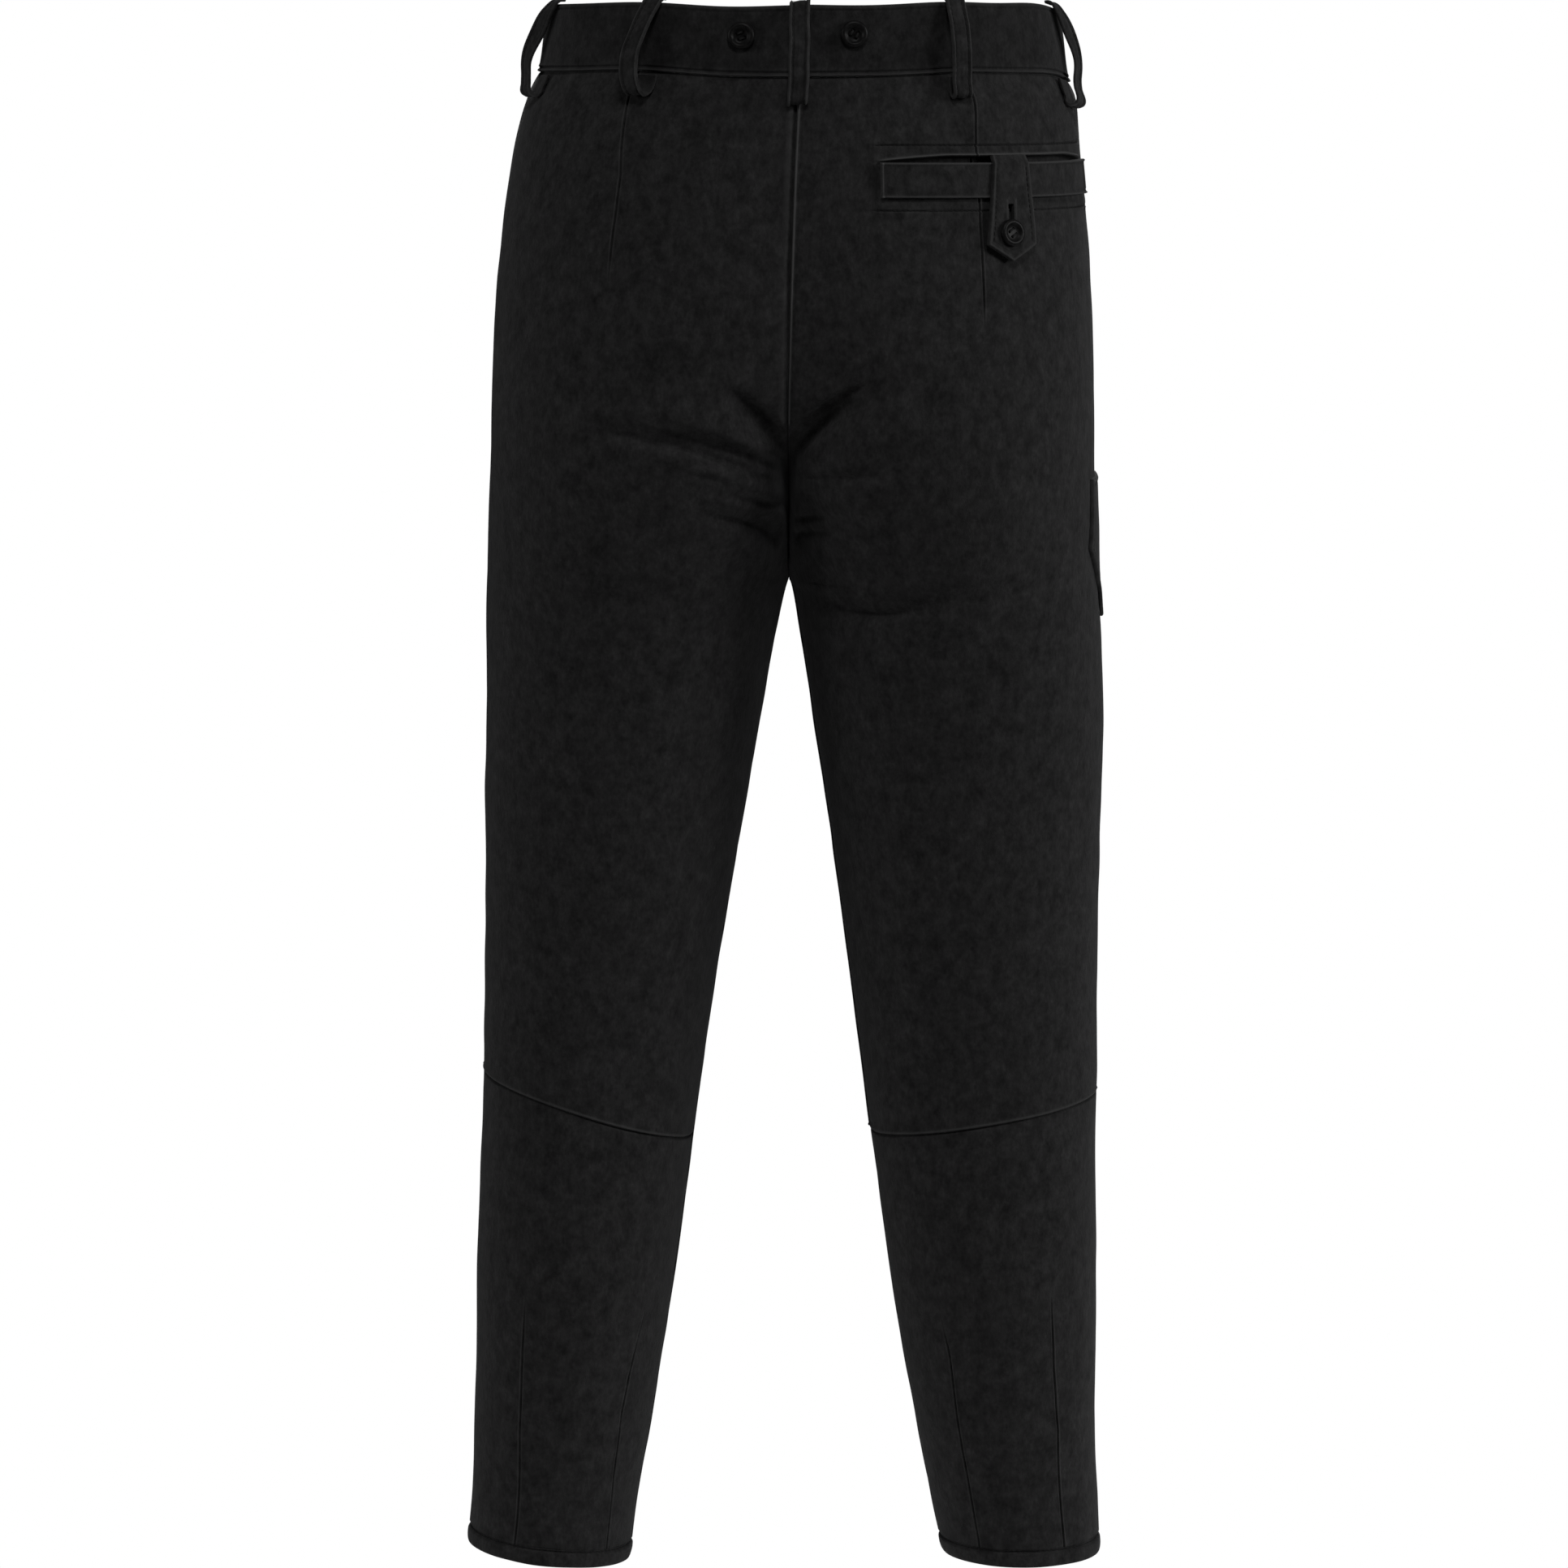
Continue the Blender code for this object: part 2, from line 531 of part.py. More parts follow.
def loop_path(loop):
    """Drop, distance out, shares of drift and of twist along the middle of a loop's strip."""
    half = LOOP_THICKNESS / 2
    on_cloth = SEAM_GAP + half + LOOP_CLEAR
    on_band = BAND_PROUD + SEAM_GAP + half + LOOP_CLEAR
    fold = loop.fold
    points = [
        (BAND_SEAM + 2.0, on_cloth + 0.6, 0.0, 0.0),
        (loop.foot - fold - 4.0, on_cloth, 0.0, 0.0),
        (loop.foot - fold * 0.3, on_cloth + fold * 0.3, 0.1, 0.1),
        (loop.foot, on_cloth + fold, 0.25, 0.2),
        (loop.foot - fold * 0.5, on_cloth + fold * 1.8, 0.4, 0.3),
        (loop.foot * 0.55 + loop.belly * 0.45, on_band + loop.stand * loop.lower, 0.85, 0.35),
        (loop.belly, on_band + loop.stand, 1.0, 0.45),
        (loop.belly * 0.45 + BAND_TOP * 0.55, on_band + loop.stand * 0.72, 0.5, 1.0),
        (BAND_TOP + 3.0, on_band + loop.stand * loop.top, 0.1, 0.4),
        (BAND_TOP - 1.2, on_band - 0.1, 0.0, 0.0),
        (BAND_TOP - SEAM_GAP - half - 1.0, BAND_PROUD - 0.6, 0.0, 0.0),
        (BAND_TOP - SEAM_GAP - half - 0.8, BAND_PROUD - BAND_THICKNESS + 0.4, 0.0, 0.0),
    ]
    points = np.array(points, float)
    steps = np.concatenate([[0], np.cumsum(np.linalg.norm(np.diff(points[:, :2], axis=0), axis=1))])
    places = np.linspace(0, steps[-1], LOOP_STEPS)
    path = []
    for column in range(4):
        path.append(curve_through(places, steps, points[:, column]))
    return np.array(path).T


def curve_through(places, knots, values):
    """A smooth curve through a few values, with the slope of each one's neighbours."""
    tangents = np.gradient(values, knots)
    steps = np.diff(knots)
    i = np.clip(np.searchsorted(knots, places) - 1, 0, len(knots) - 2)
    t = (places - knots[i]) / steps[i]
    return (
        values[i] * (1 + 2 * t) * (1 - t) ** 2
        + values[i + 1] * t * t * (3 - 2 * t)
        + tangents[i] * steps[i] * t * (1 - t) ** 2
        - tangents[i + 1] * steps[i] * t * t * (1 - t)
    )


def build_loop(loop, finish):
    """A belt loop: a flat strip sewn under the band, folded up at its foot and over the top edge."""
    path = loop_path(loop)
    slope = np.gradient(path[:, :2], axis=0)
    slope /= np.linalg.norm(slope, axis=1)[:, None]
    half = LOOP_THICKNESS / 2
    build = bmesh.new()
    rings = []
    for place, direction in zip(path, slope):
        way = loop.way + way_step(loop.drift * place[2])
        run = waist_point(way + 0.005, np.array(0.0), 0.0) - waist_point(way - 0.005, np.array(0.0), 0.0)
        run /= np.linalg.norm(run)
        twist = math.radians(loop.twist) * place[3]
        across = run * math.cos(twist) + np.cross((0.0, 0.0, 1.0), run) * math.sin(twist)
        ring = []
        for face, edge in ((1, -1), (1, 1), (-1, 1), (-1, -1)):
            drop = place[0] + face * half * direction[1]
            out = place[1] - face * half * direction[0]
            point = waist_point(way, np.array(drop), out)
            ring.append(build.verts.new((point + across * (edge * LOOP_WIDTH / 2)) * MM))
        rings.append(ring)
    for before, after in zip(rings, rings[1:]):
        for k in range(4):
            n = (k + 1) % 4
            build.faces.new([before[k], before[n], after[n], after[k]])
    build.faces.new(rings[0])
    build.faces.new(list(reversed(rings[-1])))
    bmesh.ops.triangulate(build, faces=build.faces[:])
    bmesh.ops.recalc_face_normals(build, faces=build.faces[:])
    mesh = bpy.data.meshes.new(loop.name)
    build.to_mesh(mesh)
    build.free()
    add_object(loop.name, mesh, finish)


def build_button(name, radius, place, outward, finish):
    """A turned button with a raised rim, its flat back towards the cloth."""
    thickness = radius * 0.36
    profile = [
        (0.0, thickness * 0.45),
        (radius * 0.52, thickness * 0.45),
        (radius * 0.66, thickness),
        (radius * 0.86, thickness),
        (radius, thickness * 0.6),
        (radius * 0.94, 0.0),
        (0.0, 0.0),
    ]
    build = bmesh.new()
    verts = [build.verts.new((x * MM, 0.0, z * MM)) for x, z in profile]
    for a, b in zip(verts, verts[1:]):
        build.edges.new((a, b))
    mesh = bpy.data.meshes.new(name)
    build.to_mesh(mesh)
    build.free()
    button = add_object(name, mesh, finish)
    turned = button.modifiers.new("turned", "SCREW")
    turned.steps = BUTTON_STEPS
    turned.render_steps = BUTTON_STEPS
    turned.use_merge_vertices = True
    turned.merge_threshold = 0.00001
    button.location = place * MM
    button.rotation_euler = outward.to_track_quat("Z", "Y").to_euler()
    return button


def waist_button_place(way, drop, lift):
    """A spot on the band and the way out of it."""
    place = waist_point(way, np.array(drop), lift)
    near = waist_point(way - 0.01, np.array(drop), lift)
    far = waist_point(way + 0.01, np.array(drop), lift)
    below = waist_point(way, np.array(drop + 5.0), lift)
    above = waist_point(way, np.array(drop - 5.0), lift)
    outward = Vector(far - near).cross(Vector(above - below))
    if outward.dot(Vector((place[0], place[1], 0.0))) < 0:
        outward.negate()
    return Vector(place), outward.normalized()


def build_waist_buttons(finish):
    """Brace buttons on the band and the button that closes it."""
    for row in BRACE_BUTTONS:
        place, outward = waist_button_place(row.way, row.drop, BAND_PROUD + SEAM_GAP + 0.15)
        build_button(row.name, BRACE_BUTTON_RADIUS, place, outward, finish)
    place, outward = waist_button_place(2.0, FRONT_BUTTON_DROP, BAND_PROUD + SEAM_GAP + 0.15)
    build_button("waist_button", BRACE_BUTTON_RADIUS, place, outward, finish)


def tab_middle(drops):
    """Where the middle of the pocket tab lies, as it slants away from the side seam."""
    slant = (TAB_SHOULDER_ALONG - TAB_TOP_ALONG) / (TAB_SHOULDER - TAB_TOP)
    return TAB_TOP_ALONG + (drops - TAB_TOP) * slant


def build_back_pocket(cloth, horn):
    """The welt, the tab that buttons it and its button, on the wearer's right."""
    drops = np.linspace(WELT_TOP, WELT_TOP + WELT_HEIGHT, 4)[:, None]
    inner_end = WELT_INNER + WELT_SLANT * (drops - WELT_TOP)
    along = WELT_OUTER + np.linspace(0, 1, WELT_COLUMNS)[None, :] * (inner_end - WELT_OUTER)
    outer = spot(RIGHT, along, drops, SEAM_GAP + CLOTH)
    inner = spot(RIGHT, along, drops, SEAM_GAP)
    add_object("back_pocket_welt", solid_mesh("back_pocket_welt", outer, inner), cloth)

    share = np.concatenate([[0, 0.045, 0.09], np.linspace(0.15, 1, TAB_ROWS - 3)])[:, None]
    across = np.linspace(-1, 1, 5)[None, :]
    end = TAB_SHOULDER + (TAB_POINT - TAB_SHOULDER) * (1 - np.abs(across))
    drops = TAB_TOP + share * (end - TAB_TOP)
    spread = np.interp(drops, [TAB_TOP, TAB_SHOULDER], [TAB_TOP_WIDTH / 2, TAB_WIDTH / 2])
    along = tab_middle(drops) + across * spread
    lift = SEAM_GAP + (CLOTH + SEAM_GAP + 0.1) * np.clip(share / 0.09, 0, 1)
    inner = spot(RIGHT, along, drops, lift)
    outer = spot(RIGHT, along, drops, lift + CLOTH)
    add_object("pocket_tab", solid_mesh("pocket_tab", outer, inner), cloth)

    button_along = tab_middle(TAB_BUTTON_DROP) + TAB_BUTTON_SHIFT
    lift = 2 * (CLOTH + SEAM_GAP) + SEAM_GAP + 0.15
    place = spot(RIGHT, button_along, TAB_BUTTON_DROP, lift)
    beside = spot(RIGHT, button_along + 4, TAB_BUTTON_DROP, lift)
    above = spot(RIGHT, button_along, TAB_BUTTON_DROP - 8, lift)
    outward = Vector(beside - place).cross(Vector(above - place))
    if outward.y < 0:
        outward.negate()
    build_button("pocket_tab_button", TAB_BUTTON_RADIUS, Vector(place), outward, horn)


def build_side_pocket(cloth):
    """The long pocket on the outer seam of the wearer's right leg, slanted off at its foot."""
    corners = [edge.drop for edge in SIDE_POCKET_BACK]
    drops = np.linspace(corners[0], corners[-1], SIDE_POCKET_ROWS)[:, None]
    back_edge = np.interp(drops, corners, [edge.along for edge in SIDE_POCKET_BACK])
    share = np.linspace(0, 1, 6)[None, :]
    along = back_edge + share * (SIDE_POCKET_FRONT - back_edge)
    outer = spot(RIGHT, along, drops, SEAM_GAP + CLOTH)
    inner = spot(RIGHT, along, drops, SEAM_GAP)
    add_object("side_pocket", solid_mesh("side_pocket", outer, inner), cloth)


def build_breeches():
    """All the pieces, side by side."""
    cloth = material("black_cloth", (0.0100, 0.0098, 0.0098), 0.95)
    horn = material("black_horn", (0.0060, 0.0060, 0.0060), 0.35)
    for side in (LEFT, RIGHT):
        build_panels(side, cloth)
        build_hem(side, cloth)
    build_waistband(cloth)
    build_fly_shield(cloth)
    for loop in BELT_LOOPS:
        build_loop(loop, cloth)
    build_waist_buttons(horn)
    build_back_pocket(cloth, horn)
    build_side_pocket(cloth)


for old in list(bpy.data.objects):
    bpy.data.objects.remove(old, do_unlink=True)
PARTS = bpy.data.collections.new("breeches")
bpy.context.scene.collection.children.link(PARTS)
build_breeches()
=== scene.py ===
"""Long tapered breeches in black brushed cloth, with their folds, seams and stitching.

The cloth pieces repeat the sections and tables of the solids, in millimetres, and MM turns them
into metres. The front faces -Y, the back +Y, and +X is the wearer's left. A place on the cloth is
its drop below the middle of the waistband and its distance along the cloth from the side seam,
positive towards the back.
"""
import math
from collections import namedtuple

import bmesh
import bpy
import numpy as np
from mathutils import Matrix, Vector


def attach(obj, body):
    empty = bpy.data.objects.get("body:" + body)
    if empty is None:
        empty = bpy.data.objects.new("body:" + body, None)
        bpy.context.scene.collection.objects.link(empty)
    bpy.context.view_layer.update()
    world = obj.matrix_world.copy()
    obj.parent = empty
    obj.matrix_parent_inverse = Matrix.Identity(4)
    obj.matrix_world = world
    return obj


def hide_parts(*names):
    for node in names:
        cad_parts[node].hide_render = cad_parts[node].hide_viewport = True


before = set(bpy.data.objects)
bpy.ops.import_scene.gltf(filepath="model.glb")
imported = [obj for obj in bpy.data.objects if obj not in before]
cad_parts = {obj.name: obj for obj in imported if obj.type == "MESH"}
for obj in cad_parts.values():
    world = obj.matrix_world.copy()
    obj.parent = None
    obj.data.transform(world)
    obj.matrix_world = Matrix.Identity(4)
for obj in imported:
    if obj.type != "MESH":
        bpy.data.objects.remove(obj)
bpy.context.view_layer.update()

MM = 0.001
LEFT = 1
RIGHT = -1
SIDE_NAMES = {LEFT: "left", RIGHT: "right"}
# A turn that counts as the front panel's but lies at the side seam
JUST_IN_FRONT = -1e-6

# The same sizes as in the solids
SEAM_GAP = 0.3
LEG_DROP = {LEFT: 937.8, RIGHT: 934.0}
CROTCH_DROP = 326.0
BAND_TOP = -22.0
BAND_SEAM = 18.7
BAND_THICKNESS = 3.2
BAND_PROUD = 0.8
FRONT_DIP = 8.0
OVERLAP = 18.0
UNDERLAP = 20.0
OVERLAP_RAMP = 16.0
HEM_HEIGHT = 11.0
HEM_THICKNESS = 4.4
HEM_PROUD = 1.1
HEM_TILT = {LEFT: 0.095, RIGHT: 0.010}
KNEE_AT_SIDE = {LEFT: 634.0, RIGHT: 644.0}
KNEE_AT_INSEAM = {LEFT: 674.0, RIGHT: 669.0}
SHIELD_WIDTH = 40.0
SHIELD_DROP = 190.0
SHIELD_GAP = 0.95
LOOP_WIDTH = 12.5
LOOP_THICKNESS = 1.6
LOOP_CLEAR = 0.35
BUTTON_RADIUS = 8.2
TAB_BUTTON_SHIFT = 2.2
WELT_INNER = 190.6
WELT_SLANT = 0.2
WELT_OUTER = 22.0
WELT_TOP = 69.5
WELT_HEIGHT = 21.0
TAB_TOP = 65.0
TAB_TOP_ALONG = 108.3
TAB_SHOULDER = 118.0
TAB_SHOULDER_ALONG = 118.7
TAB_POINT = 128.0
TAB_TOP_WIDTH = 24.5
TAB_WIDTH = 35.0
TAB_BUTTON_DROP = 111.0
SIDE_POCKET_FRONT = -30.0
PANEL_CLOTH = 2.0

# Sizes of what only the visible cloth has. It is a thinner shell on the solids' outer faces. JOIN is
# the space it leaves at the band and the hems, too narrow to see light through.
CLOTH = 1.6
JOIN = 0.03
EDGE_FADE = 150.0
CLEFT_TOP = 226.0
CLEFT_LOW = CROTCH_DROP - 10
MOUTH_DEPTH = 5.5
MOUTH_RISE = 3.8
PATCH_TOP = 59.5
PATCH_LOW = 98.0
PATCH_MARGIN = 2.6
HEM_GROOVE = 9.8
FLY_TOP = 20.0
FLY_WIDTH = 34.0
FLY_LENGTH = 172.0
LOOP_STEPS = 110
LOOP_SEWN_STEPS = 14
LOOP_COLUMNS = 39
BUTTONHOLE_TOP = 93.5
BUTTONHOLE_LOW = 104.0
BUTTONHOLE_HALF = 2.3
# How much painted highlight raised edges get in the cloth's colour for each millimetre that they stand out
PAINTED_HIGHLIGHT_PER_MM = 0.7

Section = namedtuple("Section", "drop outer sway middle gap front back seam front_round back_round")
SECTIONS = [
    Section(-26, 154.6, -2.4, -2.4, -154.6, 107, 110, 0, 2.25, 2.25),
    Section(0, 157.6, -2.4, -2.4, -157.6, 109, 112, 0, 2.25, 2.25),
    Section(20, 160.4, -2.2, -2.2, -159.0, 112, 114, 0, 2.25, 2.25),
    Section(34, 166.2, -1.8, -1.8, -156.0, 115, 118, 0, 2.25, 2.25),
    Section(50, 169.6, -0.4, -1.2, -150.0, 117, 122, 1, 2.6, 2.25),
    Section(75, 173.3, 0.9, -0.4, -138.0, 119, 127, 2, 2.6, 2.25),
    Section(124, 179.0, 2.0, 0.7, -112.0, 121, 133, 3, 2.9, 2.25),
    Section(174, 182.3, 2.1, 1.6, -84.0, 121, 136, 4, 3.2, 2.25),
    Section(223, 184.1, 2.0, 2.2, -55.0, 118, 136, 4, 3.2, 2.25),
    Section(260, 184.6, 1.7, 2.5, -33.0, 114, 131, 3, 3.2, 2.25),
    Section(295, 185.8, 1.3, 2.7, -12.4, 109, 122, 2, 3.2, 2.25),
    Section(315, 186.4, 1.0, 2.8, -3.2, 106, 116, 1, 3.2, 2.25),
    Section(326, 186.8, 0.8, 2.8, 0.0, 104, 112, 0, 3.2, 2.25),
    Section(333, 187.3, 0.6, 2.8, 2.5, 103, 109, 0, 2.8, 2.25),
    Section(343, 187.8, 0.4, 2.9, 4.8, 102, 107, 0, 2.8, 2.25),
    Section(373, 188.9, -0.3, 3.3, 10.0, 99, 101, -1, 2.8, 2.25),
    Section(424, 189.6, -1.1, 3.6, 18.2, 96, 94, -2, 2.2, 2.2),
    Section(499, 189.3, -0.8, 3.7, 30.3, 91, 86, -2, 2.2, 2.2),
    Section(575, 189.0, -0.3, 4.0, 41.9, 85, 79, -2, 2.2, 2.2),
    Section(651, 189.2, -0.5, 3.9, 52.3, 78, 75, -1, 2.2, 2.2),
    Section(702, 190.5, -0.3, 3.1, 59.1, 72, 76, 0, 2.15, 2.15),
    Section(779, 191.9, 0.3, 2.1, 70.2, 65, 72, 1, 2.1, 2.1),
    Section(856, 192.6, 0.6, 0.8, 83.3, 58, 63, 1, 2.05, 2.05),
    Section(902, 194.5, -0.2, -0.1, 92.0, 55, 58, 0, 2.0, 2.0),
    Section(950, 197.4, 0.5, -2.9, 100.3, 53, 56, 0, 2.0, 2.0),
]

Lift = namedtuple("Lift", "side along width seam top")
BAND_LIFTS = [
    Lift(LEFT, 122, 40, 1.6, 1.6),
    Lift(LEFT, 172, 38, -1.4, -0.9),
    Lift(LEFT, 220, 32, -1.1, 1.0),
    Lift(RIGHT, 120, 36, 2.6, 2.6),
    Lift(RIGHT, 218, 34, -1.1, 1.05),
    Lift(RIGHT, 146, 44, -0.6, 1.2),
    Lift(RIGHT, 62, 34, 2.0, 3.4),
    Lift(RIGHT, 6, 20, -3.0, -1.2),
]

# Folds, each bent towards its middle place. depth is how far a trough is sunk, a ridge has a minus.
Fold = namedtuple("Fold", "side along_a drop_a along_b drop_b along_c drop_c width depth")
FOLDS = [
    # The main ones, which the solids have too
    Fold(LEFT, 226, 206, 250, 219, 272, 242, 9, 3.6),
    Fold(LEFT, 150, 232, 208, 235, 272, 264, 8, 2.8),
    Fold(LEFT, 208, 281, 240, 284, 274, 305, 8, 2.6),
    Fold(LEFT, 186, 341, 205, 343, 230, 348, 8, 1.2),
    Fold(RIGHT, 214, 199, 245, 215, 272, 240, 11, 4.2),
    Fold(RIGHT, 204, 256, 235, 258, 270, 263, 7, 1.6),
    Fold(RIGHT, 240, 292, 256, 294, 274, 300, 7, 1.6),
    Fold(RIGHT, 246, 339, 190, 347, 98, 320, 8, 2.6),
    Fold(LEFT, -208, 232, -236, 246, -262, 272, 10, 3.2),
    Fold(LEFT, -140, 286, -190, 288, -250, 306, 9, 2.4),
    Fold(RIGHT, -200, 226, -236, 244, -262, 268, 11, 3.6),
    Fold(RIGHT, -120, 330, -180, 338, -240, 322, 9, 2.4),
    Fold(LEFT, -30, 622, -85, 634, -140, 618, 10, 2.2),
    Fold(RIGHT, -45, 640, -95, 650, -145, 636, 10, 2.2),
    # Crisp edges and ridges beside them on the seat
    Fold(LEFT, 228, 206, 250, 214, 270, 238, 3.0, 2.6),
    Fold(LEFT, 244, 236, 260, 238, 276, 252, 2.6, -2.2),
    Fold(LEFT, 252, 242, 264, 244, 274, 256, 2.2, 2.0),
    Fold(LEFT, 146, 231.5, 204, 236, 268, 264, 2.4, 3.2),
    Fold(LEFT, 183, 224, 222, 229, 264, 255, 2.2, 1.6),
    Fold(LEFT, 234, 214, 254, 229, 274, 253, 6.5, 7.5),
    Fold(LEFT, 176, 230, 222, 236, 274, 259, 5.0, 5.4),
    Fold(LEFT, 160, 240, 212, 247, 262, 276, 6.0, -0.6),
    Fold(LEFT, 240, 276, 256, 286, 276, 300, 7.0, 4.2),
    Fold(RIGHT, 222, 211, 248, 226, 272, 253, 7.0, 9.0),
    Fold(RIGHT, 226, 222, 250, 240, 272, 268, 13.0, 4.0),
    Fold(RIGHT, 250, 268, 260, 284, 272, 306, 9.0, 4.0),
    Fold(LEFT, 214, 240, 240, 245, 268, 262, 2.6, -1.4),
    Fold(LEFT, 196, 250, 230, 254, 262, 270, 4.0, -1.5),
    Fold(LEFT, 197, 254, 228, 258, 250, 268, 2.6, 1.8),
    Fold(LEFT, 230, 268, 252, 273, 276, 279, 3.0, 3.6),
    Fold(LEFT, 211, 281, 238, 282, 270, 304, 2.4, 3.4),
    Fold(LEFT, 224, 290, 244, 296, 270, 318, 4.0, -1.2),
    Fold(LEFT, 161, 183, 196, 173, 226, 180, 9, -1.4),
    Fold(RIGHT, 218, 202, 246, 212, 272, 236, 2.2, 3.4),
    Fold(RIGHT, 214, 196, 240, 204, 266, 226, 3.0, -1.2),
    Fold(RIGHT, 224, 213, 246, 226, 270, 246, 6.0, 1.8),
    Fold(RIGHT, 226, 225, 248, 236, 268, 250, 4.0, -1.5),
    Fold(RIGHT, 209, 257, 238, 257, 264, 259, 2.4, 1.9),
    Fold(RIGHT, 243, 283, 258, 284, 272, 286, 2.4, 2.6),
    Fold(RIGHT, 240, 293, 256, 293, 274, 296, 2.4, 1.8),
    Fold(RIGHT, 175, 338, 205, 345, 244, 338, 3.0, 3.2),
    Fold(RIGHT, 118, 320, 150, 322, 190, 341, 5.0, 0.9),
    Fold(RIGHT, 100, 331, 150, 336, 200, 356, 9.0, -0.9),
    Fold(LEFT, 206, 350, 216, 372, 222, 400, 12, 1.2),
    Fold(RIGHT, 208, 352, 218, 374, 224, 402, 12, 1.2),
    # Knees, calves and the other sides
    Fold(LEFT, 60, 612, 120, 626, 188, 612, 9, 1.3),
    Fold(RIGHT, 56, 628, 110, 640, 176, 622, 9, 1.3),
    Fold(LEFT, 40, 700, 96, 712, 150, 700, 9, 1.0),
    Fold(RIGHT, 44, 706, 90, 716, 146, 704, 9, 1.0),
    Fold(LEFT, -40, 690, -84, 702, -120, 688, 9, 1.6),
    Fold(RIGHT, -36, 702, -80, 714, -118, 700, 9, 1.6),
    Fold(LEFT, -206, 236, -232, 246, -262, 276, 3.0, 1.2),
    Fold(LEFT, -150, 284, -196, 284, -252, 306, 3.0, 1.0),
    Fold(LEFT, -190, 204, -222, 212, -262, 236, 8.0, 1.6),
    Fold(RIGHT, -204, 226, -234, 240, -262, 268, 3.0, 1.2),
    Fold(RIGHT, -180, 284, -218, 288, -258, 300, 8.0, 1.6),
    Fold(LEFT, -96, 40, -102, 74, -100, 112, 9, 0.9),
    Fold(RIGHT, -98, 40, -104, 76, -102, 110, 9, 0.9),
    Fold(LEFT, -20, 168, -40, 188, -74, 196, 10, 1.2),
    Fold(RIGHT, -16, 178, -40, 196, -78, 200, 10, 1.2),
    Fold(LEFT, -60, 470, -110, 484, -164, 470, 12, 1.2),
    Fold(RIGHT, -56, 486, -104, 498, -160, 486, 12, 1.2),
    Fold(LEFT, -36, 820, -70, 830, -110, 818, 9, 1.2),
    Fold(RIGHT, -32, 834, -66, 842, -106, 830, 9, 1.2),
]

# Darts, from the top down. Those on the back end in their tip and those on the calf begin with it.
Dart = namedtuple("Dart", "panel side drops alongs")
DARTS = [
    Dart("back", LEFT, (20, 36, 78, 104, 141), (122, 127, 140, 144.5, 148.4)),
    Dart("back", RIGHT, (20, 35, 60, 109, 164), (119, 122.7, 128.4, 136.6, 142.5)),
    Dart("calf", LEFT, (772, 852, 908, 928), (77, 68, 65, 64)),
    Dart("calf", LEFT, (782, 810, 842, 882, 913, 928), (157, 147, 136, 129, 127, 126.5)),
    Dart("calf", RIGHT, (765, 806, 848, 890, 917, 928), (70, 66, 58.5, 56, 54, 53.5)),
    Dart("calf", RIGHT, (777, 801, 835, 876, 918, 928), (141, 133, 126, 116.5, 110, 109)),
]

Loop = namedtuple("Loop", "name way stand belly lower top fold foot drift twist")
BELT_LOOPS = [
    Loop("belt_loop_back", 0.0, 7.6, 8, 0.85, 0.25, 1.9, 34.0, 0.0, 0),
    Loop("belt_loop_back_left", 0.365, 10.4, 12, 0.92, 0.25, 3.8, 32.4, 5.0, -8),
    Loop("belt_loop_side_left", 0.76, 7.8, 15, 0.62, 0.34, 1.3, 33.0, 22.0, 32),
    Loop("belt_loop_front_left", 1.66, 10.0, 8, 0.90, 0.25, 2.2, 34.0, 0.0, 0),
    Loop("belt_loop_front_right", 2.34, 10.0, 8, 0.90, 0.25, 2.2, 34.0, 0.0, 0),
    Loop("belt_loop_side_right", 3.20, 7.1, 9, 0.56, 0.32, 1.1, 36.0, -18.0, -20),
    Loop("belt_loop_back_right", 3.62, 7.8, 4, 0.75, 0.25, 2.0, 33.0, 1.0, 0),
]

# Buttons on the band. turn is how far each one is turned on its thread, in degrees.
Button = namedtuple("Button", "name way drop turn")
BAND_BUTTONS = [
    Button("brace_button_back_left", 0.14, -5.0, 20),
    Button("brace_button_back_right", 3.87, -5.5, 65),
    Button("brace_button_front_left", 1.78, -2.0, 10),
    Button("brace_button_side_left", 1.40, -2.0, 50),
    Button("brace_button_front_right", 2.22, -2.0, 80),
    Button("brace_button_side_right", 2.60, -2.0, 35),
    Button("waist_button", 2.0, 0.0, 5),
]

Edge = namedtuple("Edge", "drop along")
SIDE_POCKET_BACK = [
    Edge(263.0, 38.0),
    Edge(305.0, 48.0),
    Edge(322.0, 27.0),
    Edge(346.0, 1.0),
    Edge(351.0, -8.0),
]
SIDE_POCKET_STITCHES = [Edge(263.0, 30.0), Edge(305.0, 43.0), Edge(321.0, 24.0)]

# Soft ridges, and grooves with a minus, beside the edges and darts of the cloth: the distance of
# their middle from the edge, their width and their height
Ridge = namedtuple("Ridge", "at width height")
TURNED_EDGE = Ridge(0.0, 0.5, -0.9)
DART_RIDGES = [Ridge(-0.8, 0.5, 0.5), Ridge(1.1, 0.6, 0.3), Ridge(0.15, 0.5, -1.0)]
CENTRE_SEAM = {
    LEFT: [Ridge(3.6, 1.2, 0.35), Ridge(0.6, 1.0, -1.3)],
    RIGHT: [Ridge(0.75, 0.55, 1.1), Ridge(3.0, 0.7, -0.35)],
}
CLEFT = [Ridge(0.0, 9.0, -8.0), Ridge(0.0, 4.5, -8.0)]
KNEE_UPPER = [Ridge(0.8, 0.7, 0.6)]
KNEE_LOWER = [Ridge(0.4, 0.9, -1.2)]
HEM_END = [Ridge(0.0, 0.5, -0.25)]
HEM_RIDGES = [Ridge(5.0, 3.0, 0.25), Ridge(HEM_GROOVE, 0.9, -1.8)]
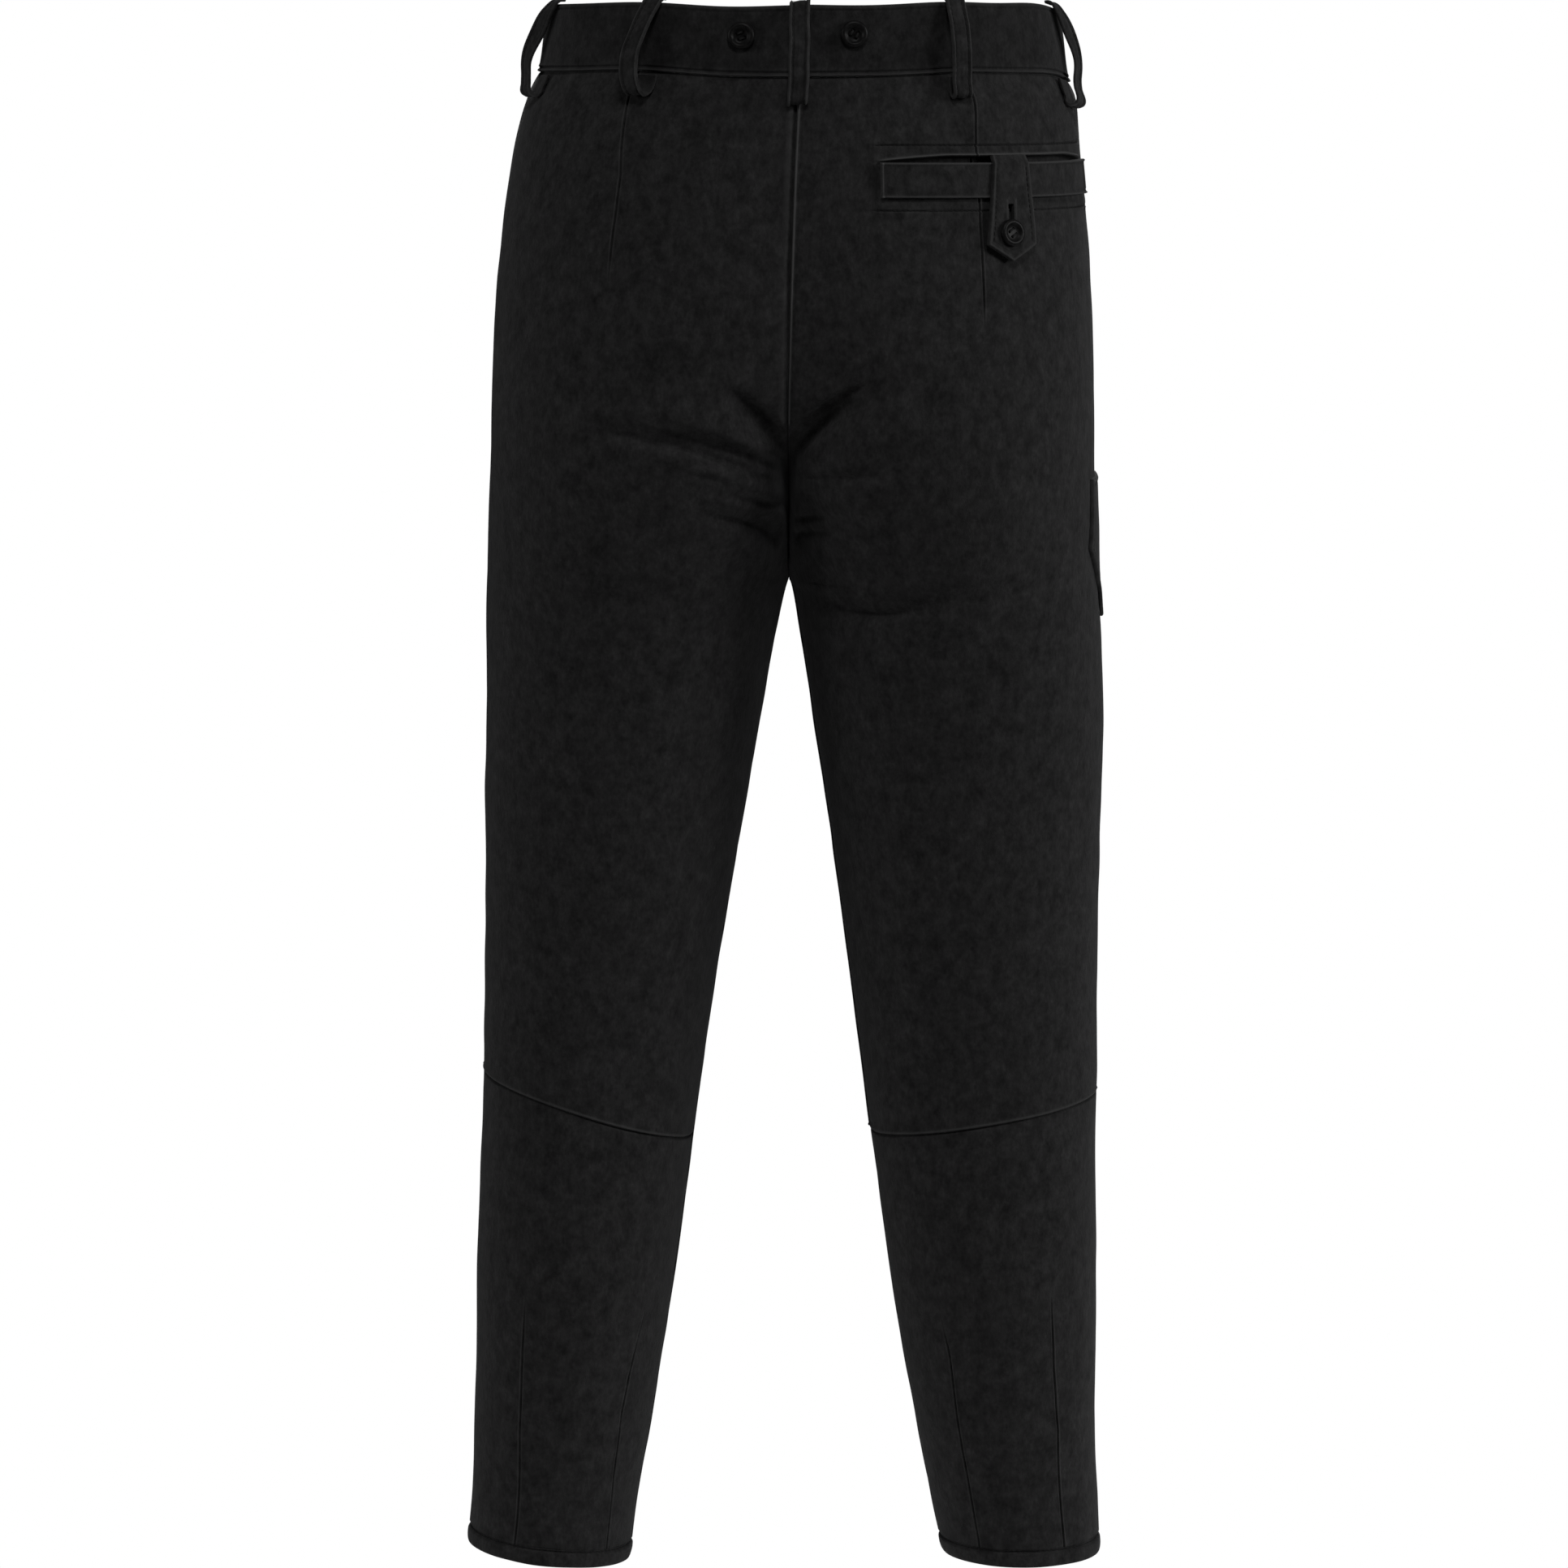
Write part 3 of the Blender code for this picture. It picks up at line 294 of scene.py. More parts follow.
BAND_RIDGES = [
    Ridge(1.0, 0.7, 0.8),
    Ridge(2.6, 0.6, -0.45),
    Ridge(3.8, 0.8, 0.35),
    Ridge(37.4, 0.5, -0.3),
    Ridge(38.6, 0.8, 0.2),
]
# Painted highlight: where the band's and the loops' raised edges are painted lighter
BAND_PAINTED_HIGHLIGHT = [Ridge(0.9, 0.6, 0.8), Ridge(39.6, 0.8, 0.3)]
LOOP_RIDGES = [Ridge(0.9, 0.6, 0.75), Ridge(2.3, 0.6, -0.35), Ridge(LOOP_WIDTH / 2, 1.1, 0.2)]
LOOP_PAINTED_HIGHLIGHT = [Ridge(0.8, 0.6, 0.45)]
WELT_ENDS = [Ridge(0.8, 0.6, 0.9), Ridge(2.4, 0.6, -0.3)]
WELT_FOOT = [Ridge(0.8, 0.6, 0.7), Ridge(2.4, 0.6, -0.35)]
WELT_HEAD = [Ridge(0.7, 0.7, 0.8)]
WELT_ROUND = [Ridge(0.0, 0.35, -0.8)]
TAB_RIDGES = [Ridge(0.9, 0.7, 0.4), Ridge(3.2, 0.6, -0.35), Ridge(0.0, 0.4, -0.5)]
SIDE_POCKET_RIDGES = [Ridge(1.5, 1.1, 0.35), Ridge(4.0, 0.7, -0.3), Ridge(0.0, 0.6, -0.6)]

# The button's outline from its sunk middle over the rim to its back, in shares of its radius and
# thickness
BUTTON_THICKNESS = 0.36 * BUTTON_RADIUS
BUTTON_HOLE_PLACE = 1.75
BUTTON_HOLE_RADIUS = 0.95
THREAD_LANE = 0.28
THREAD_REACH = 1.95
THREAD_RADIUS = 0.26
Profile = namedtuple("Profile", "radius height")
BUTTON_PROFILE = [
    Profile(0.0, 0.42),
    Profile(0.30, 0.40),
    Profile(0.50, 0.46),
    Profile(0.58, 0.62),
    Profile(0.66, 0.92),
    Profile(0.72, 1.02),
    Profile(0.80, 1.02),
    Profile(0.88, 0.94),
    Profile(0.96, 0.76),
    Profile(1.0, 0.50),
    Profile(0.985, 0.22),
    Profile(0.93, 0.0),
    Profile(0.0, 0.0),
]

# Stitches, and how far their rows lie inside the edges of the cloth
STITCH_LENGTH = 2.3
STITCH_GAP = 0.9
STITCH_RADIUS = 0.27
STITCH_SIDES = 6
BAND_STITCH_INSET = 3.1
FLY_STITCH_INSET = 1.5
LOOP_STITCH_ACROSS = 3.9
TAB_STITCH_ACROSS = 0.80


def on_one_grid(*values):
    """Numbers and arrays of places, all brought to one shape."""
    return np.broadcast_arrays(*[np.asarray(value, float) for value in values])


def curve(places, knots, values, tangents):
    """A smooth curve through the values, with the given slope at each of them."""
    i = np.clip(np.searchsorted(knots, places) - 1, 0, len(knots) - 2)
    step = knots[i + 1] - knots[i]
    t = np.clip((places - knots[i]) / step, 0, 1)
    return (
        values[i] * (1 + 2 * t) * (1 - t) ** 2
        + values[i + 1] * t * t * (3 - 2 * t)
        + tangents[i] * step * t * (1 - t) ** 2
        - tangents[i + 1] * step * t * t * (1 - t)
    )


def smooth_value(places, knots, values):
    """A smooth curve through the table's values which never swings past them."""
    steps = np.diff(knots)
    slopes = np.diff(values) / steps
    tangents = np.zeros(len(values))
    tangents[0] = slopes[0]
    tangents[-1] = slopes[-1]
    for i in range(1, len(values) - 1):
        if slopes[i - 1] * slopes[i] > 0:
            before = 2 * steps[i] + steps[i - 1]
            after = steps[i] + 2 * steps[i - 1]
            tangents[i] = (before + after) / (before / slopes[i - 1] + after / slopes[i])
    return curve(places, knots, values, tangents)


def section_column(name, drop):
    """One size of the sections, at any drop."""
    knots = np.array([row.drop for row in SECTIONS], float)
    values = np.array([getattr(row, name) for row in SECTIONS], float)
    return smooth_value(drop, knots, values)


def cloth_point(side, drop, turn, sink=0.0, trim=SEAM_GAP / 2):
    """A place on the cloth. turn is 0 at the side seam, 1 at the back's other edge, -1 in front."""
    drop, turn, sink = on_one_grid(drop, turn, sink)
    middle = side * section_column("middle", drop)
    outer = section_column("outer", drop) + side * section_column("sway", drop) - sink
    inner = section_column("gap", drop) + middle + sink
    seam = section_column("seam", drop)
    depth = np.where(turn >= 0, section_column("back", drop) - seam, section_column("front", drop) + seam)
    depth = depth - sink
    power = np.where(
        turn >= 0, section_column("back_round", drop), section_column("front_round", drop)
    )
    centre = (outer + inner) / 2
    half = (outer - inner) / 2
    cut = np.clip((middle + trim - centre) / half, -1, 1)
    rise = (1 - np.abs(cut) ** power) ** (1 / power)
    last = np.minimum(np.arctan2(rise, cut), math.pi - trim / depth)
    first = trim / depth
    angle = first + np.abs(turn) * (last - first)
    cosine = np.cos(angle)
    sine = np.sin(angle)
    radius = (np.abs(cosine) ** power + np.abs(sine) ** power) ** (-1 / power)
    x = side * (centre + half * radius * cosine)
    y = seam + np.where(turn >= 0, 1, -1) * depth * radius * sine
    return np.stack([x, y, -drop], axis=-1)


class ClothMeasure:
    """Distances along the cloth from the side seam, looked up on a fine net."""

    STEP = 3.0

    def __init__(self, side):
        self.drops = np.arange(-30.0, 960.0, self.STEP)
        self.turns = np.linspace(-1, 1, 161)
        points = cloth_point(side, self.drops[:, None], self.turns[None, :], trim=0.0)
        steps = np.linalg.norm(np.diff(points, axis=1), axis=2)
        length = np.concatenate([np.zeros((len(self.drops), 1)), np.cumsum(steps, axis=1)], axis=1)
        self.along = length - length[:, [len(self.turns) // 2]]

    def row(self, drop):
        """The lengths at one drop."""
        place = np.clip((drop - self.drops[0]) / self.STEP, 0, len(self.drops) - 1.001)
        i = int(place)
        return self.along[i] * (i + 1 - place) + self.along[i + 1] * (place - i)

    def along_at(self, drop, turn):
        """Distance along the cloth at each drop and turn."""
        drop, turn = on_one_grid(drop, turn)
        down = np.clip((drop - self.drops[0]) / self.STEP, 0, len(self.drops) - 1.001)
        over = np.clip((turn + 1) / 2 * (len(self.turns) - 1), 0, len(self.turns) - 1.001)
        i = down.astype(int)
        j = over.astype(int)
        a = down - i
        b = over - j
        top = self.along[i, j] * (1 - b) + self.along[i, j + 1] * b
        low = self.along[i + 1, j] * (1 - b) + self.along[i + 1, j + 1] * b
        return top * (1 - a) + low * a

    def turn_at(self, drop, along):
        """The turn of a place that is given by its distance along the cloth."""
        drop, along = on_one_grid(drop, along)
        turns = [np.interp(a, self.row(d), self.turns) for d, a in zip(drop.ravel(), along.ravel())]
        return np.array(turns).reshape(drop.shape)


MEASURE = {side: ClothMeasure(side) for side in (LEFT, RIGHT)}


def ramp(distance, length):
    """Rises from 0 to 1 over a length."""
    return np.clip(distance / length, 0, 1)


def bump(distance, at, width):
    """A soft swell of height 1 at one distance."""
    return np.exp(-(((distance - at) / width) ** 2))


def ridges(distance, rows):
    """The height of several ridges and grooves together."""
    return sum(row.height * bump(distance, row.at, row.width) for row in rows)


def hills(across, down, size, seed):
    """Soft uneven swells between -1 and 1, about as wide as size."""
    count = 64
    heights = np.random.RandomState(seed).uniform(-1, 1, (count, count))
    x = across / size + count
    y = down / size + count
    i = np.floor(x).astype(int)
    j = np.floor(y).astype(int)
    a = x - i
    b = y - j
    a = a * a * (3 - 2 * a)
    b = b * b * (3 - 2 * b)
    near = heights[i % count, j % count] * (1 - a) + heights[(i + 1) % count, j % count] * a
    far = heights[i % count, (j + 1) % count] * (1 - a) + heights[(i + 1) % count, (j + 1) % count] * a
    return near * (1 - b) + far * b


def fold_depth(side, drop, along):
    """How far the folds sink the cloth at a place."""
    drop, along = on_one_grid(drop, along)
    depth = np.zeros(drop.shape)
    for fold in FOLDS:
        if fold.side != side:
            continue
        reach = 3 * fold.width
        near = along > min(fold.along_a, fold.along_b, fold.along_c) - reach
        near &= along < max(fold.along_a, fold.along_b, fold.along_c) + reach
        near &= drop > min(fold.drop_a, fold.drop_b, fold.drop_c) - reach
        near &= drop < max(fold.drop_a, fold.drop_b, fold.drop_c) + reach
        if not near.any():
            continue
        here_along = along[near]
        here_drop = drop[near]
        nearest = np.full(here_along.shape, np.inf)
        share = np.zeros(here_along.shape)
        for t in np.linspace(0, 1, 41):
            a = (1 - t) ** 2 * fold.along_a + 2 * t * (1 - t) * fold.along_b + t * t * fold.along_c
            d = (1 - t) ** 2 * fold.drop_a + 2 * t * (1 - t) * fold.drop_b + t * t * fold.drop_c
            distance = np.hypot(here_along - a, here_drop - d)
            share = np.where(distance < nearest, t, share)
            nearest = np.minimum(nearest, distance)
        taper = np.sin(math.pi * np.clip(0.12 + 0.76 * share, 0, 1))
        depth[near] += fold.depth * taper * bump(nearest, 0.0, fold.width)
    return depth


def soft_relief(side, drop, along):
    """How far the hung cloth stands out between its main folds."""
    calm = ramp(drop - 20, 60)
    swells = 0.55 * hills(along, drop * 0.8, size=46, seed=11 + side)
    swells = swells + 0.25 * hills(along, drop, size=21, seed=31 + side)
    nap = 0.045 * hills(along, drop * 0.6, size=5.5, seed=51 + side)
    return calm * swells + nap - fold_depth(side, drop, along)


def spot(side, along, drop, out=0.0, folds=True):
    """A place given by its distance along the cloth, moved out from it."""
    turn = MEASURE[side].turn_at(drop, along)
    sink = -out
    if folds:
        sink = sink - soft_relief(side, drop, MEASURE[side].along_at(drop, turn))
    return cloth_point(side, drop, turn, sink, trim=0.0)


def waist_shift(side, turn, drop=BAND_SEAM):
    """How much lower the waistband lies than at the centre back."""
    depth = cloth_point(side, 0.0, turn, trim=0.0)[..., 1]
    most = section_column("back", np.array(0.0))
    shift = FRONT_DIP * np.clip((1 - depth / most) / 2, 0, 1) ** 1.5
    along = MEASURE[side].along_at(0.0, turn)
    share = ramp(BAND_SEAM - drop, BAND_SEAM - BAND_TOP)
    for lift in BAND_LIFTS:
        if lift.side == side:
            rise = lift.seam + (lift.top - lift.seam) * share
            shift = shift - rise * bump(along, lift.along, lift.width)
    return shift


def waist_point(way, drop, out):
    """A place on or near the waistband. way runs 0 to 4 from the centre back over the left."""
    way = np.asarray(way, float) % 4.0
    on_left = way <= 2
    turn = np.where(on_left, 1 - way, way - 3)
    points = {}
    for side in (LEFT, RIGHT):
        lower = drop + waist_shift(side, turn, drop)
        points[side] = cloth_point(side, lower, turn, -np.asarray(out, float), trim=0.0)
    return np.where(on_left[..., None], points[LEFT], points[RIGHT])


QUARTER = float(MEASURE[LEFT].along_at(0.0, 1.0))


def knee_drop(side, turn):
    """The curved seam at the back of the knee."""
    top = KNEE_AT_SIDE[side]
    return top + (KNEE_AT_INSEAM[side] - top) * np.sin(math.pi / 2 * turn) ** 2


def hem_drop(side, turn):
    """The lower edge of the leg, which hangs lower at the inseam."""
    level = LEG_DROP[side]
    x = side * cloth_point(side, level, turn, trim=0.0)[..., 0]
    middle = (section_column("outer", np.array(level)) + section_column("gap", np.array(level))) / 2
    return level + HEM_TILT[side] * (middle - x)


# Meshes


def add_object(name, data):
    """A new object in the scene."""
    added = bpy.data.objects.new(name, data)
    bpy.context.scene.collection.objects.link(added)
    return added


def finish_piece(name, mesh, material, node, soft_angle=60):
    """Adds one visible piece that stands for its solid."""
    mesh.materials.append(material)
    mesh.shade_smooth()
    mesh.set_sharp_from_angle(angle=math.radians(soft_angle))
    piece = add_object(name, mesh)
    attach(piece, "root")
    if node:
        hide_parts(node)


def net_faces(rows, columns, start, around_rows=False, around_columns=False):
    """Corner numbers of a net's cells."""
    i = np.arange(rows if around_rows else rows - 1)[:, None]
    j = np.arange(columns if around_columns else columns - 1)[None, :]
    below = (i + 1) % rows
    beside = (j + 1) % columns
    cells = [i * columns + j, below * columns + j, below * columns + beside, i * columns + beside]
    return np.stack(np.broadcast_arrays(*cells), axis=-1).reshape(-1, 4) + start


def outward_mesh(name, points, faces):
    """A mesh of the given cells with all its faces turned out."""
    mesh = bpy.data.meshes.new(name)
    mesh.from_pydata((points * MM).tolist(), [], [face.tolist() for face in faces])
    build = bmesh.new()
    build.from_mesh(mesh)
    bmesh.ops.recalc_face_normals(build, faces=build.faces[:])
    build.to_mesh(mesh)
    build.free()
    return mesh


def mark_painted_highlight(mesh, painted_highlight):
    """Keeps how much painted highlight each point of a mesh gets, lighter in the cloth's colour."""
    mesh.attributes.new("painted_highlight", "FLOAT", "POINT").data.foreach_set("value", np.clip(painted_highlight, 0, 1).ravel())


def border_face(a, b, count):
    """The face between two neighbours on the outer net's border and the same two on the inner net."""
    return np.array([[a, b, b + count, a + count]])


def shell_mesh(name, outer, inner, painted_highlight, missing=None):
    """A thin closed shell between two nets, with painted highlight on its points. missing marks the cells of
    a hole.
    """
    rows, columns = outer.shape[:2]
    count = rows * columns
    points = np.concatenate([outer.reshape(-1, 3), inner.reshape(-1, 3)])
    cells = net_faces(rows, columns, 0)
    kept = np.ones((rows - 1, columns - 1), bool) if missing is None else ~missing
    padded = np.pad(kept, 1)
    numbers = np.arange(count).reshape(rows, columns)
    faces = [cells[kept.ravel()], cells[kept.ravel()][:, ::-1] + count]
    for i, j in np.argwhere(padded[:-1, 1:-1] != padded[1:, 1:-1]):
        faces.append(border_face(numbers[i, j], numbers[i, j + 1], count))
    for i, j in np.argwhere(padded[1:-1, :-1] != padded[1:-1, 1:]):
        faces.append(border_face(numbers[i, j], numbers[i + 1, j], count))
    faces = np.concatenate(faces)
    used = np.unique(faces)
    new_number = np.zeros(2 * count, int)
    new_number[used] = np.arange(len(used))
    mesh = outward_mesh(name, points[used], new_number[faces])
    highlight_share = np.broadcast_to(painted_highlight, (rows, columns)).ravel()
    mark_painted_highlight(mesh, np.concatenate([highlight_share, np.zeros(count)])[used])
    return mesh


def tube_mesh(name, net, closed, painted_highlight):
    """A bar through rings of points. closed joins its ends, else each end gets a cap."""
    steps, around = net.shape[:2]
    faces = list(net_faces(steps, around, 0, around_rows=closed, around_columns=True))
    if not closed:
        faces.append(np.arange(around))
        faces.append(np.arange(around) + (steps - 1) * around)
    mesh = outward_mesh(name, net.reshape(-1, 3), faces)
    mark_painted_highlight(mesh, np.broadcast_to(painted_highlight, (steps, around)))
    return mesh


def graded(length, step, marks):
    """Places from 0 to length about one step apart, closer near marks of (place, gain, width)."""
    fine = np.linspace(0, length, 3000)
    density = np.ones(fine.shape)
    for place, gain, width in marks:
        density = density + gain * bump(fine, place, width)
    total = np.concatenate([[0], np.cumsum((density[1:] + density[:-1]) / 2 * (fine[1] - fine[0]))])
    count = int(total[-1] / step) + 1
    return np.interp(np.linspace(0, total[-1], count), total, fine)


def edge_marks(length):
    """Closer places at both ends of a length, for the ridges beside its seams."""
    return [(0, 6, 3.2), (length, 6, 3.2), (0, 14, 1.1), (length, 14, 1.1)]


def dart_turn(dart, drop):
    """Where a dart's line lies on the panel, carried on past its ends."""
    inside = np.clip(drop, dart.drops[0], dart.drops[-1])
    return MEASURE[dart.side].turn_at(inside, np.interp(inside, dart.drops, dart.alongs))


def panel_turns(panel_name, side, drops, widths, step):
    """A net of columns which follow the panel's edges and its darts."""
    darts = [dart for dart in DARTS if dart.panel == panel_name and dart.side == side]
    lines = [np.zeros(drops.shape)] + [dart_turn(dart, drops) for dart in darts] + [np.ones(drops.shape)]
    columns = []
    for k in range(len(lines) - 1):
        width = widths[k]
        share = graded(width, step, edge_marks(width)) / width
        if k:
            share = share[1:]
        columns.append(lines[k][:, None] * (1 - share) + lines[k + 1][:, None] * share)
    return np.concatenate(columns, axis=1)


def fitted_drops(rows, top, bottom):
    """Moves the first and last of a panel's rows on to its edges, and those near them in part."""
    rows = rows[:, None]
    near_top = 1 - ramp(rows - rows[0], EDGE_FADE)
    near_bottom = 1 - ramp(rows[-1] - rows, EDGE_FADE)
    return rows + near_top * (top - rows[0]) + near_bottom * (bottom - rows[-1])


def seam_edge(distance, height=0.38):
    """Cloth turned in at a seam: it rounds down at the edge and stands up just beside it."""
    return ridges(distance, [Ridge(1.15, 0.75, height), TURNED_EDGE])


def dart_relief(panel_name, side, drop, along):
    """The stitched line of each dart, with a soft welt on its outer side."""
    out = np.zeros(drop.shape)
    for dart in DARTS:
        if dart.panel != panel_name or dart.side != side:
            continue
        away = along - np.interp(drop, dart.drops, dart.alongs)
        if panel_name == "back":
            strength = ramp(dart.drops[-1] + 4 - drop, 26)
        else:
            strength = ramp(drop - dart.drops[0] + 4, 26)
        out += strength * ridges(away, DART_RIDGES)
    return out


def panel_shell(name, side, drops, turns, seams, raised, material):
    """One cut panel as a thin shell, with the relief of its seams and of what else is raised."""
    along = MEASURE[side].along_at(drops, turns)
    out = soft_relief(side, drops, along) + seams + raised
    outer = cloth_point(side, drops, turns, -out)
    inner = cloth_point(side, drops, turns, CLOTH - out)
    # Raised seam ridges get painted highlight in the cloth's colour
    mesh = shell_mesh(name, outer, inner, seams * PAINTED_HIGHLIGHT_PER_MM)
    finish_piece("cloth_" + name, mesh, material, name)


def band_groove(distance):
    """How far a panel sinks towards the band above it."""
    return np.exp(-distance / 1.5)


def edge_distances(side, drops, turns):
    """Distance of each place of a panel from its side seam and from its other long edge."""
    along = MEASURE[side].along_at(drops, turns)
    end = MEASURE[side].along_at(drops, np.broadcast_to(np.sign(turns.mean()), drops.shape))
    return along, np.abs(along), np.abs(end - along)


def mouth_rise(along):
    """How far the lip of the pocket's mouth stands above the welt."""
    return MOUTH_RISE * ramp(WELT_INNER - along, 40) ** 0.7 * ramp(along - WELT_OUTER, 34) ** 0.7


def mouth_relief(drops, along):
    """The pocket's mouth: the panel's raised lip and a sunk channel below it."""
    lip_drop = WELT_TOP - mouth_rise(along)
    inside = ramp(along - WELT_OUTER, 2) * ramp(WELT_INNER - along, 2)
    below = ramp(drops - lip_drop, 1.2) * ramp(WELT_TOP + 6 - drops, 2)
    return inside * (1.2 * bump(drops, lip_drop - 0.8, 0.7) - MOUTH_DEPTH * below)


def patch_relief(drops, along):
    """The stitched frame round the welt, with a raised strip between its lower line and the welt."""
    end = WELT_INNER + WELT_SLANT * (drops - WELT_TOP) + PATCH_MARGIN
    beside = 1 / (1 + np.exp((along - end) / 0.3))
    lines = bump(drops, PATCH_TOP, 0.5) + bump(drops, PATCH_LOW, 0.5)
    upright_line = bump(along, end, 0.5) * (drops > PATCH_TOP) * (drops < PATCH_LOW)
    strip = np.exp(-(((drops - PATCH_LOW + 2.6) / 2.3) ** 4))
    raised = 0.22 * strip + 0.3 * bump(drops, PATCH_LOW + 1.4, 0.6) + 0.2 * bump(drops, PATCH_TOP - 1.4, 0.6)
    return beside * (raised - 0.9 * lines) - 0.8 * upright_line


def build_back(side, material):
    """The back panel, with its dart, the cleft at its seam and, on the right, the pocket's mouth."""
    length = KNEE_AT_SIDE[side] - BAND_SEAM
    marks = edge_marks(length) + [(250, 1.4, 90)]
    if side == RIGHT:
        marks += [(WELT_TOP - BAND_SEAM - 3, 11, 5), (PATCH_LOW - BAND_SEAM - 2, 7, 5)]
        marks.append((PATCH_TOP - BAND_SEAM, 7, 2.5))
    rows = BAND_SEAM + graded(length, step=3.8, marks=marks)
    turns = panel_turns("back", side, rows, widths=(150, 110), step=3.4)
    top = BAND_SEAM + waist_shift(side, turns) + JOIN
    bottom = knee_drop(side, turns) - SEAM_GAP / 2
    drops = fitted_drops(rows, top, bottom)
    along, to_side, to_middle = edge_distances(side, drops, turns)
    seams = seam_edge(to_side) + ridges(to_middle, CENTRE_SEAM[side])
    cleft = ramp(drops - CLEFT_TOP, 34) * ramp(CLEFT_LOW - drops, 40)
    seams += cleft * ridges(to_middle, CLEFT) + ridges(bottom - drops, KNEE_UPPER)
    seams += dart_relief("back", side, drops, along) - band_groove(drops - top)
    raised = 0.0
    if side == RIGHT:
        seams += mouth_relief(drops, along)
        raised = patch_relief(drops, along)
    panel_shell("back_" + SIDE_NAMES[side], side, drops, turns, seams, raised, material)


def build_calf(side, material):
    """The lower back panel with its two darts."""
    top_drop = KNEE_AT_SIDE[side]
    length = LEG_DROP[side] - HEM_HEIGHT - top_drop
    rows = top_drop + graded(length, step=3.2, marks=edge_marks(length))
    turns = panel_turns("calf", side, rows, widths=(70, 70, 60), step=3.2)
    top = knee_drop(side, turns) + SEAM_GAP / 2
    bottom = hem_drop(side, turns) - HEM_HEIGHT - JOIN
    share = ((rows - rows[0]) / length)[:, None]
    drops = top + share * (bottom - top)
    along, to_side, to_middle = edge_distances(side, drops, turns)
    seams = seam_edge(to_side) + seam_edge(to_middle) + dart_relief("calf", side, drops, along)
    seams += ridges(drops - top, KNEE_LOWER) + ridges(bottom - drops, HEM_END)
    panel_shell("calf_" + SIDE_NAMES[side], side, drops, turns, seams, 0.0, material)


def fly_edge(drops, width, length):
    """Distance of the fly's curved edge from the front seam."""
    return width * np.sqrt(np.clip(1 - ((drops - FLY_TOP) / length) ** 2, 0, 1))


def build_front(side, material):
    """The front panel, the left one with the fly's raised and stitched edge."""
    length = LEG_DROP[side] - HEM_HEIGHT - BAND_SEAM
    rows = BAND_SEAM + graded(length, step=4.8, marks=edge_marks(length) + [(270, 0.6, 60)])
    width = 240
    share = graded(width, step=4.4, marks=edge_marks(width)) / width
    turns = np.broadcast_to(-share[None, :], (len(rows), len(share))).copy()
    turns[:, 0] = JUST_IN_FRONT
    top = BAND_SEAM + waist_shift(side, turns) + JOIN
    bottom = hem_drop(side, turns) - HEM_HEIGHT - JOIN
    drops = fitted_drops(rows, top, bottom)
    _, to_side, to_middle = edge_distances(side, drops, turns)
    seams = seam_edge(to_side) + seam_edge(to_middle, 0.6 if side == LEFT else 0.3)
    seams += ridges(bottom - drops, HEM_END) - band_groove(drops - top)
    raised = 0.0
    if side == LEFT:
        inside = 1 / (1 + np.exp((to_middle - fly_edge(drops, FLY_WIDTH, FLY_LENGTH)) / 0.8))
        raised = np.where(drops < FLY_TOP + FLY_LENGTH, 0.5 * inside, 0.0)
    panel_shell("front_" + SIDE_NAMES[side], side, drops, turns, seams, raised, material)


def build_hem(side, material):
    """The turned hem, a soft thick bead with a row of stitches sunk near its top."""
    turns = np.linspace(1, -1, num=190, endpoint=False)
    edge = hem_drop(side, turns)
    around = np.linspace(0, 2 * math.pi, num=96, endpoint=False)[:, None]
    up = np.sign(np.cos(around)) * np.abs(np.cos(around)) ** 0.5
    out = np.sign(np.sin(around)) * np.abs(np.sin(around)) ** 0.5
    along = np.arange(len(turns))[None, :] * 2.0
    above = (HEM_HEIGHT / 2) * (1 + up)
    relief = 0.35 * hills(along, above * 2, size=17, seed=71 + side) + ridges(above, HEM_RIDGES)
    distance = HEM_PROUD - HEM_THICKNESS / 2 + out * HEM_THICKNESS / 2 + np.where(out > 0.3, relief, 0)
    waves = 0.3 * hills(along, 0 * above, size=26, seed=91 + side)
    drop = edge - above + waves * (1 - above / HEM_HEIGHT)
    net = cloth_point(side, drop, turns[None, :], -distance, trim=0.0)
    name = "hem_" + SIDE_NAMES[side]
    finish_piece("cloth_" + name, tube_mesh(name, net, True, 0.0), material, name)


def strip_ring(height, thickness):
    """A rounded strip's cross-section from its foot up its face, over the top and down inside."""
    radius = thickness / 2
    face = graded(height - 2 * radius, 1.5, [(0, 5, 3.5), (height - 2 * radius, 3, 3)]) + radius
    arc = np.linspace(0, math.pi, num=7)[1:-1]
    above = np.concatenate(
        [face, height - radius + radius * np.sin(arc), face[::-1][::2], radius - radius * np.sin(arc)]
    )
    across = np.concatenate(
        [
            np.full(len(face), radius),
            radius * np.cos(arc),
            np.full(len(face[::2]), -radius),
            -radius * np.cos(arc),
        ]
    )
    return above, across


def build_band(name, ways, sunk, material):
    """Half of the waistband, its seam edge rolled and stitched through."""
    above, across = strip_ring(BAND_SEAM - SEAM_GAP / 2 - BAND_TOP, BAND_THICKNESS)
    above = above[:, None]
    across = across[:, None]
    along = ways[None, :] * QUARTER
    relief = 0.35 * hills(along, above, size=24, seed=5) + ridges(above, BAND_RIDGES)
    relief = np.where(across > 0, relief, 0.0)
    # Painted highlight on the band's raised seam edge and top
    painted_highlight = np.where(across > 0, PAINTED_HIGHLIGHT_PER_MM * ridges(above, BAND_PAINTED_HIGHLIGHT), 0.0)
    middle = BAND_PROUD - BAND_THICKNESS / 2
    drop = BAND_SEAM - JOIN - above
    net = waist_point(ways[None, :], drop, middle + across + relief - sunk[None, :])
    mesh = tube_mesh(name, net.transpose(1, 0, 2), False, painted_highlight.T)
    finish_piece("cloth_" + name, mesh, material, name)


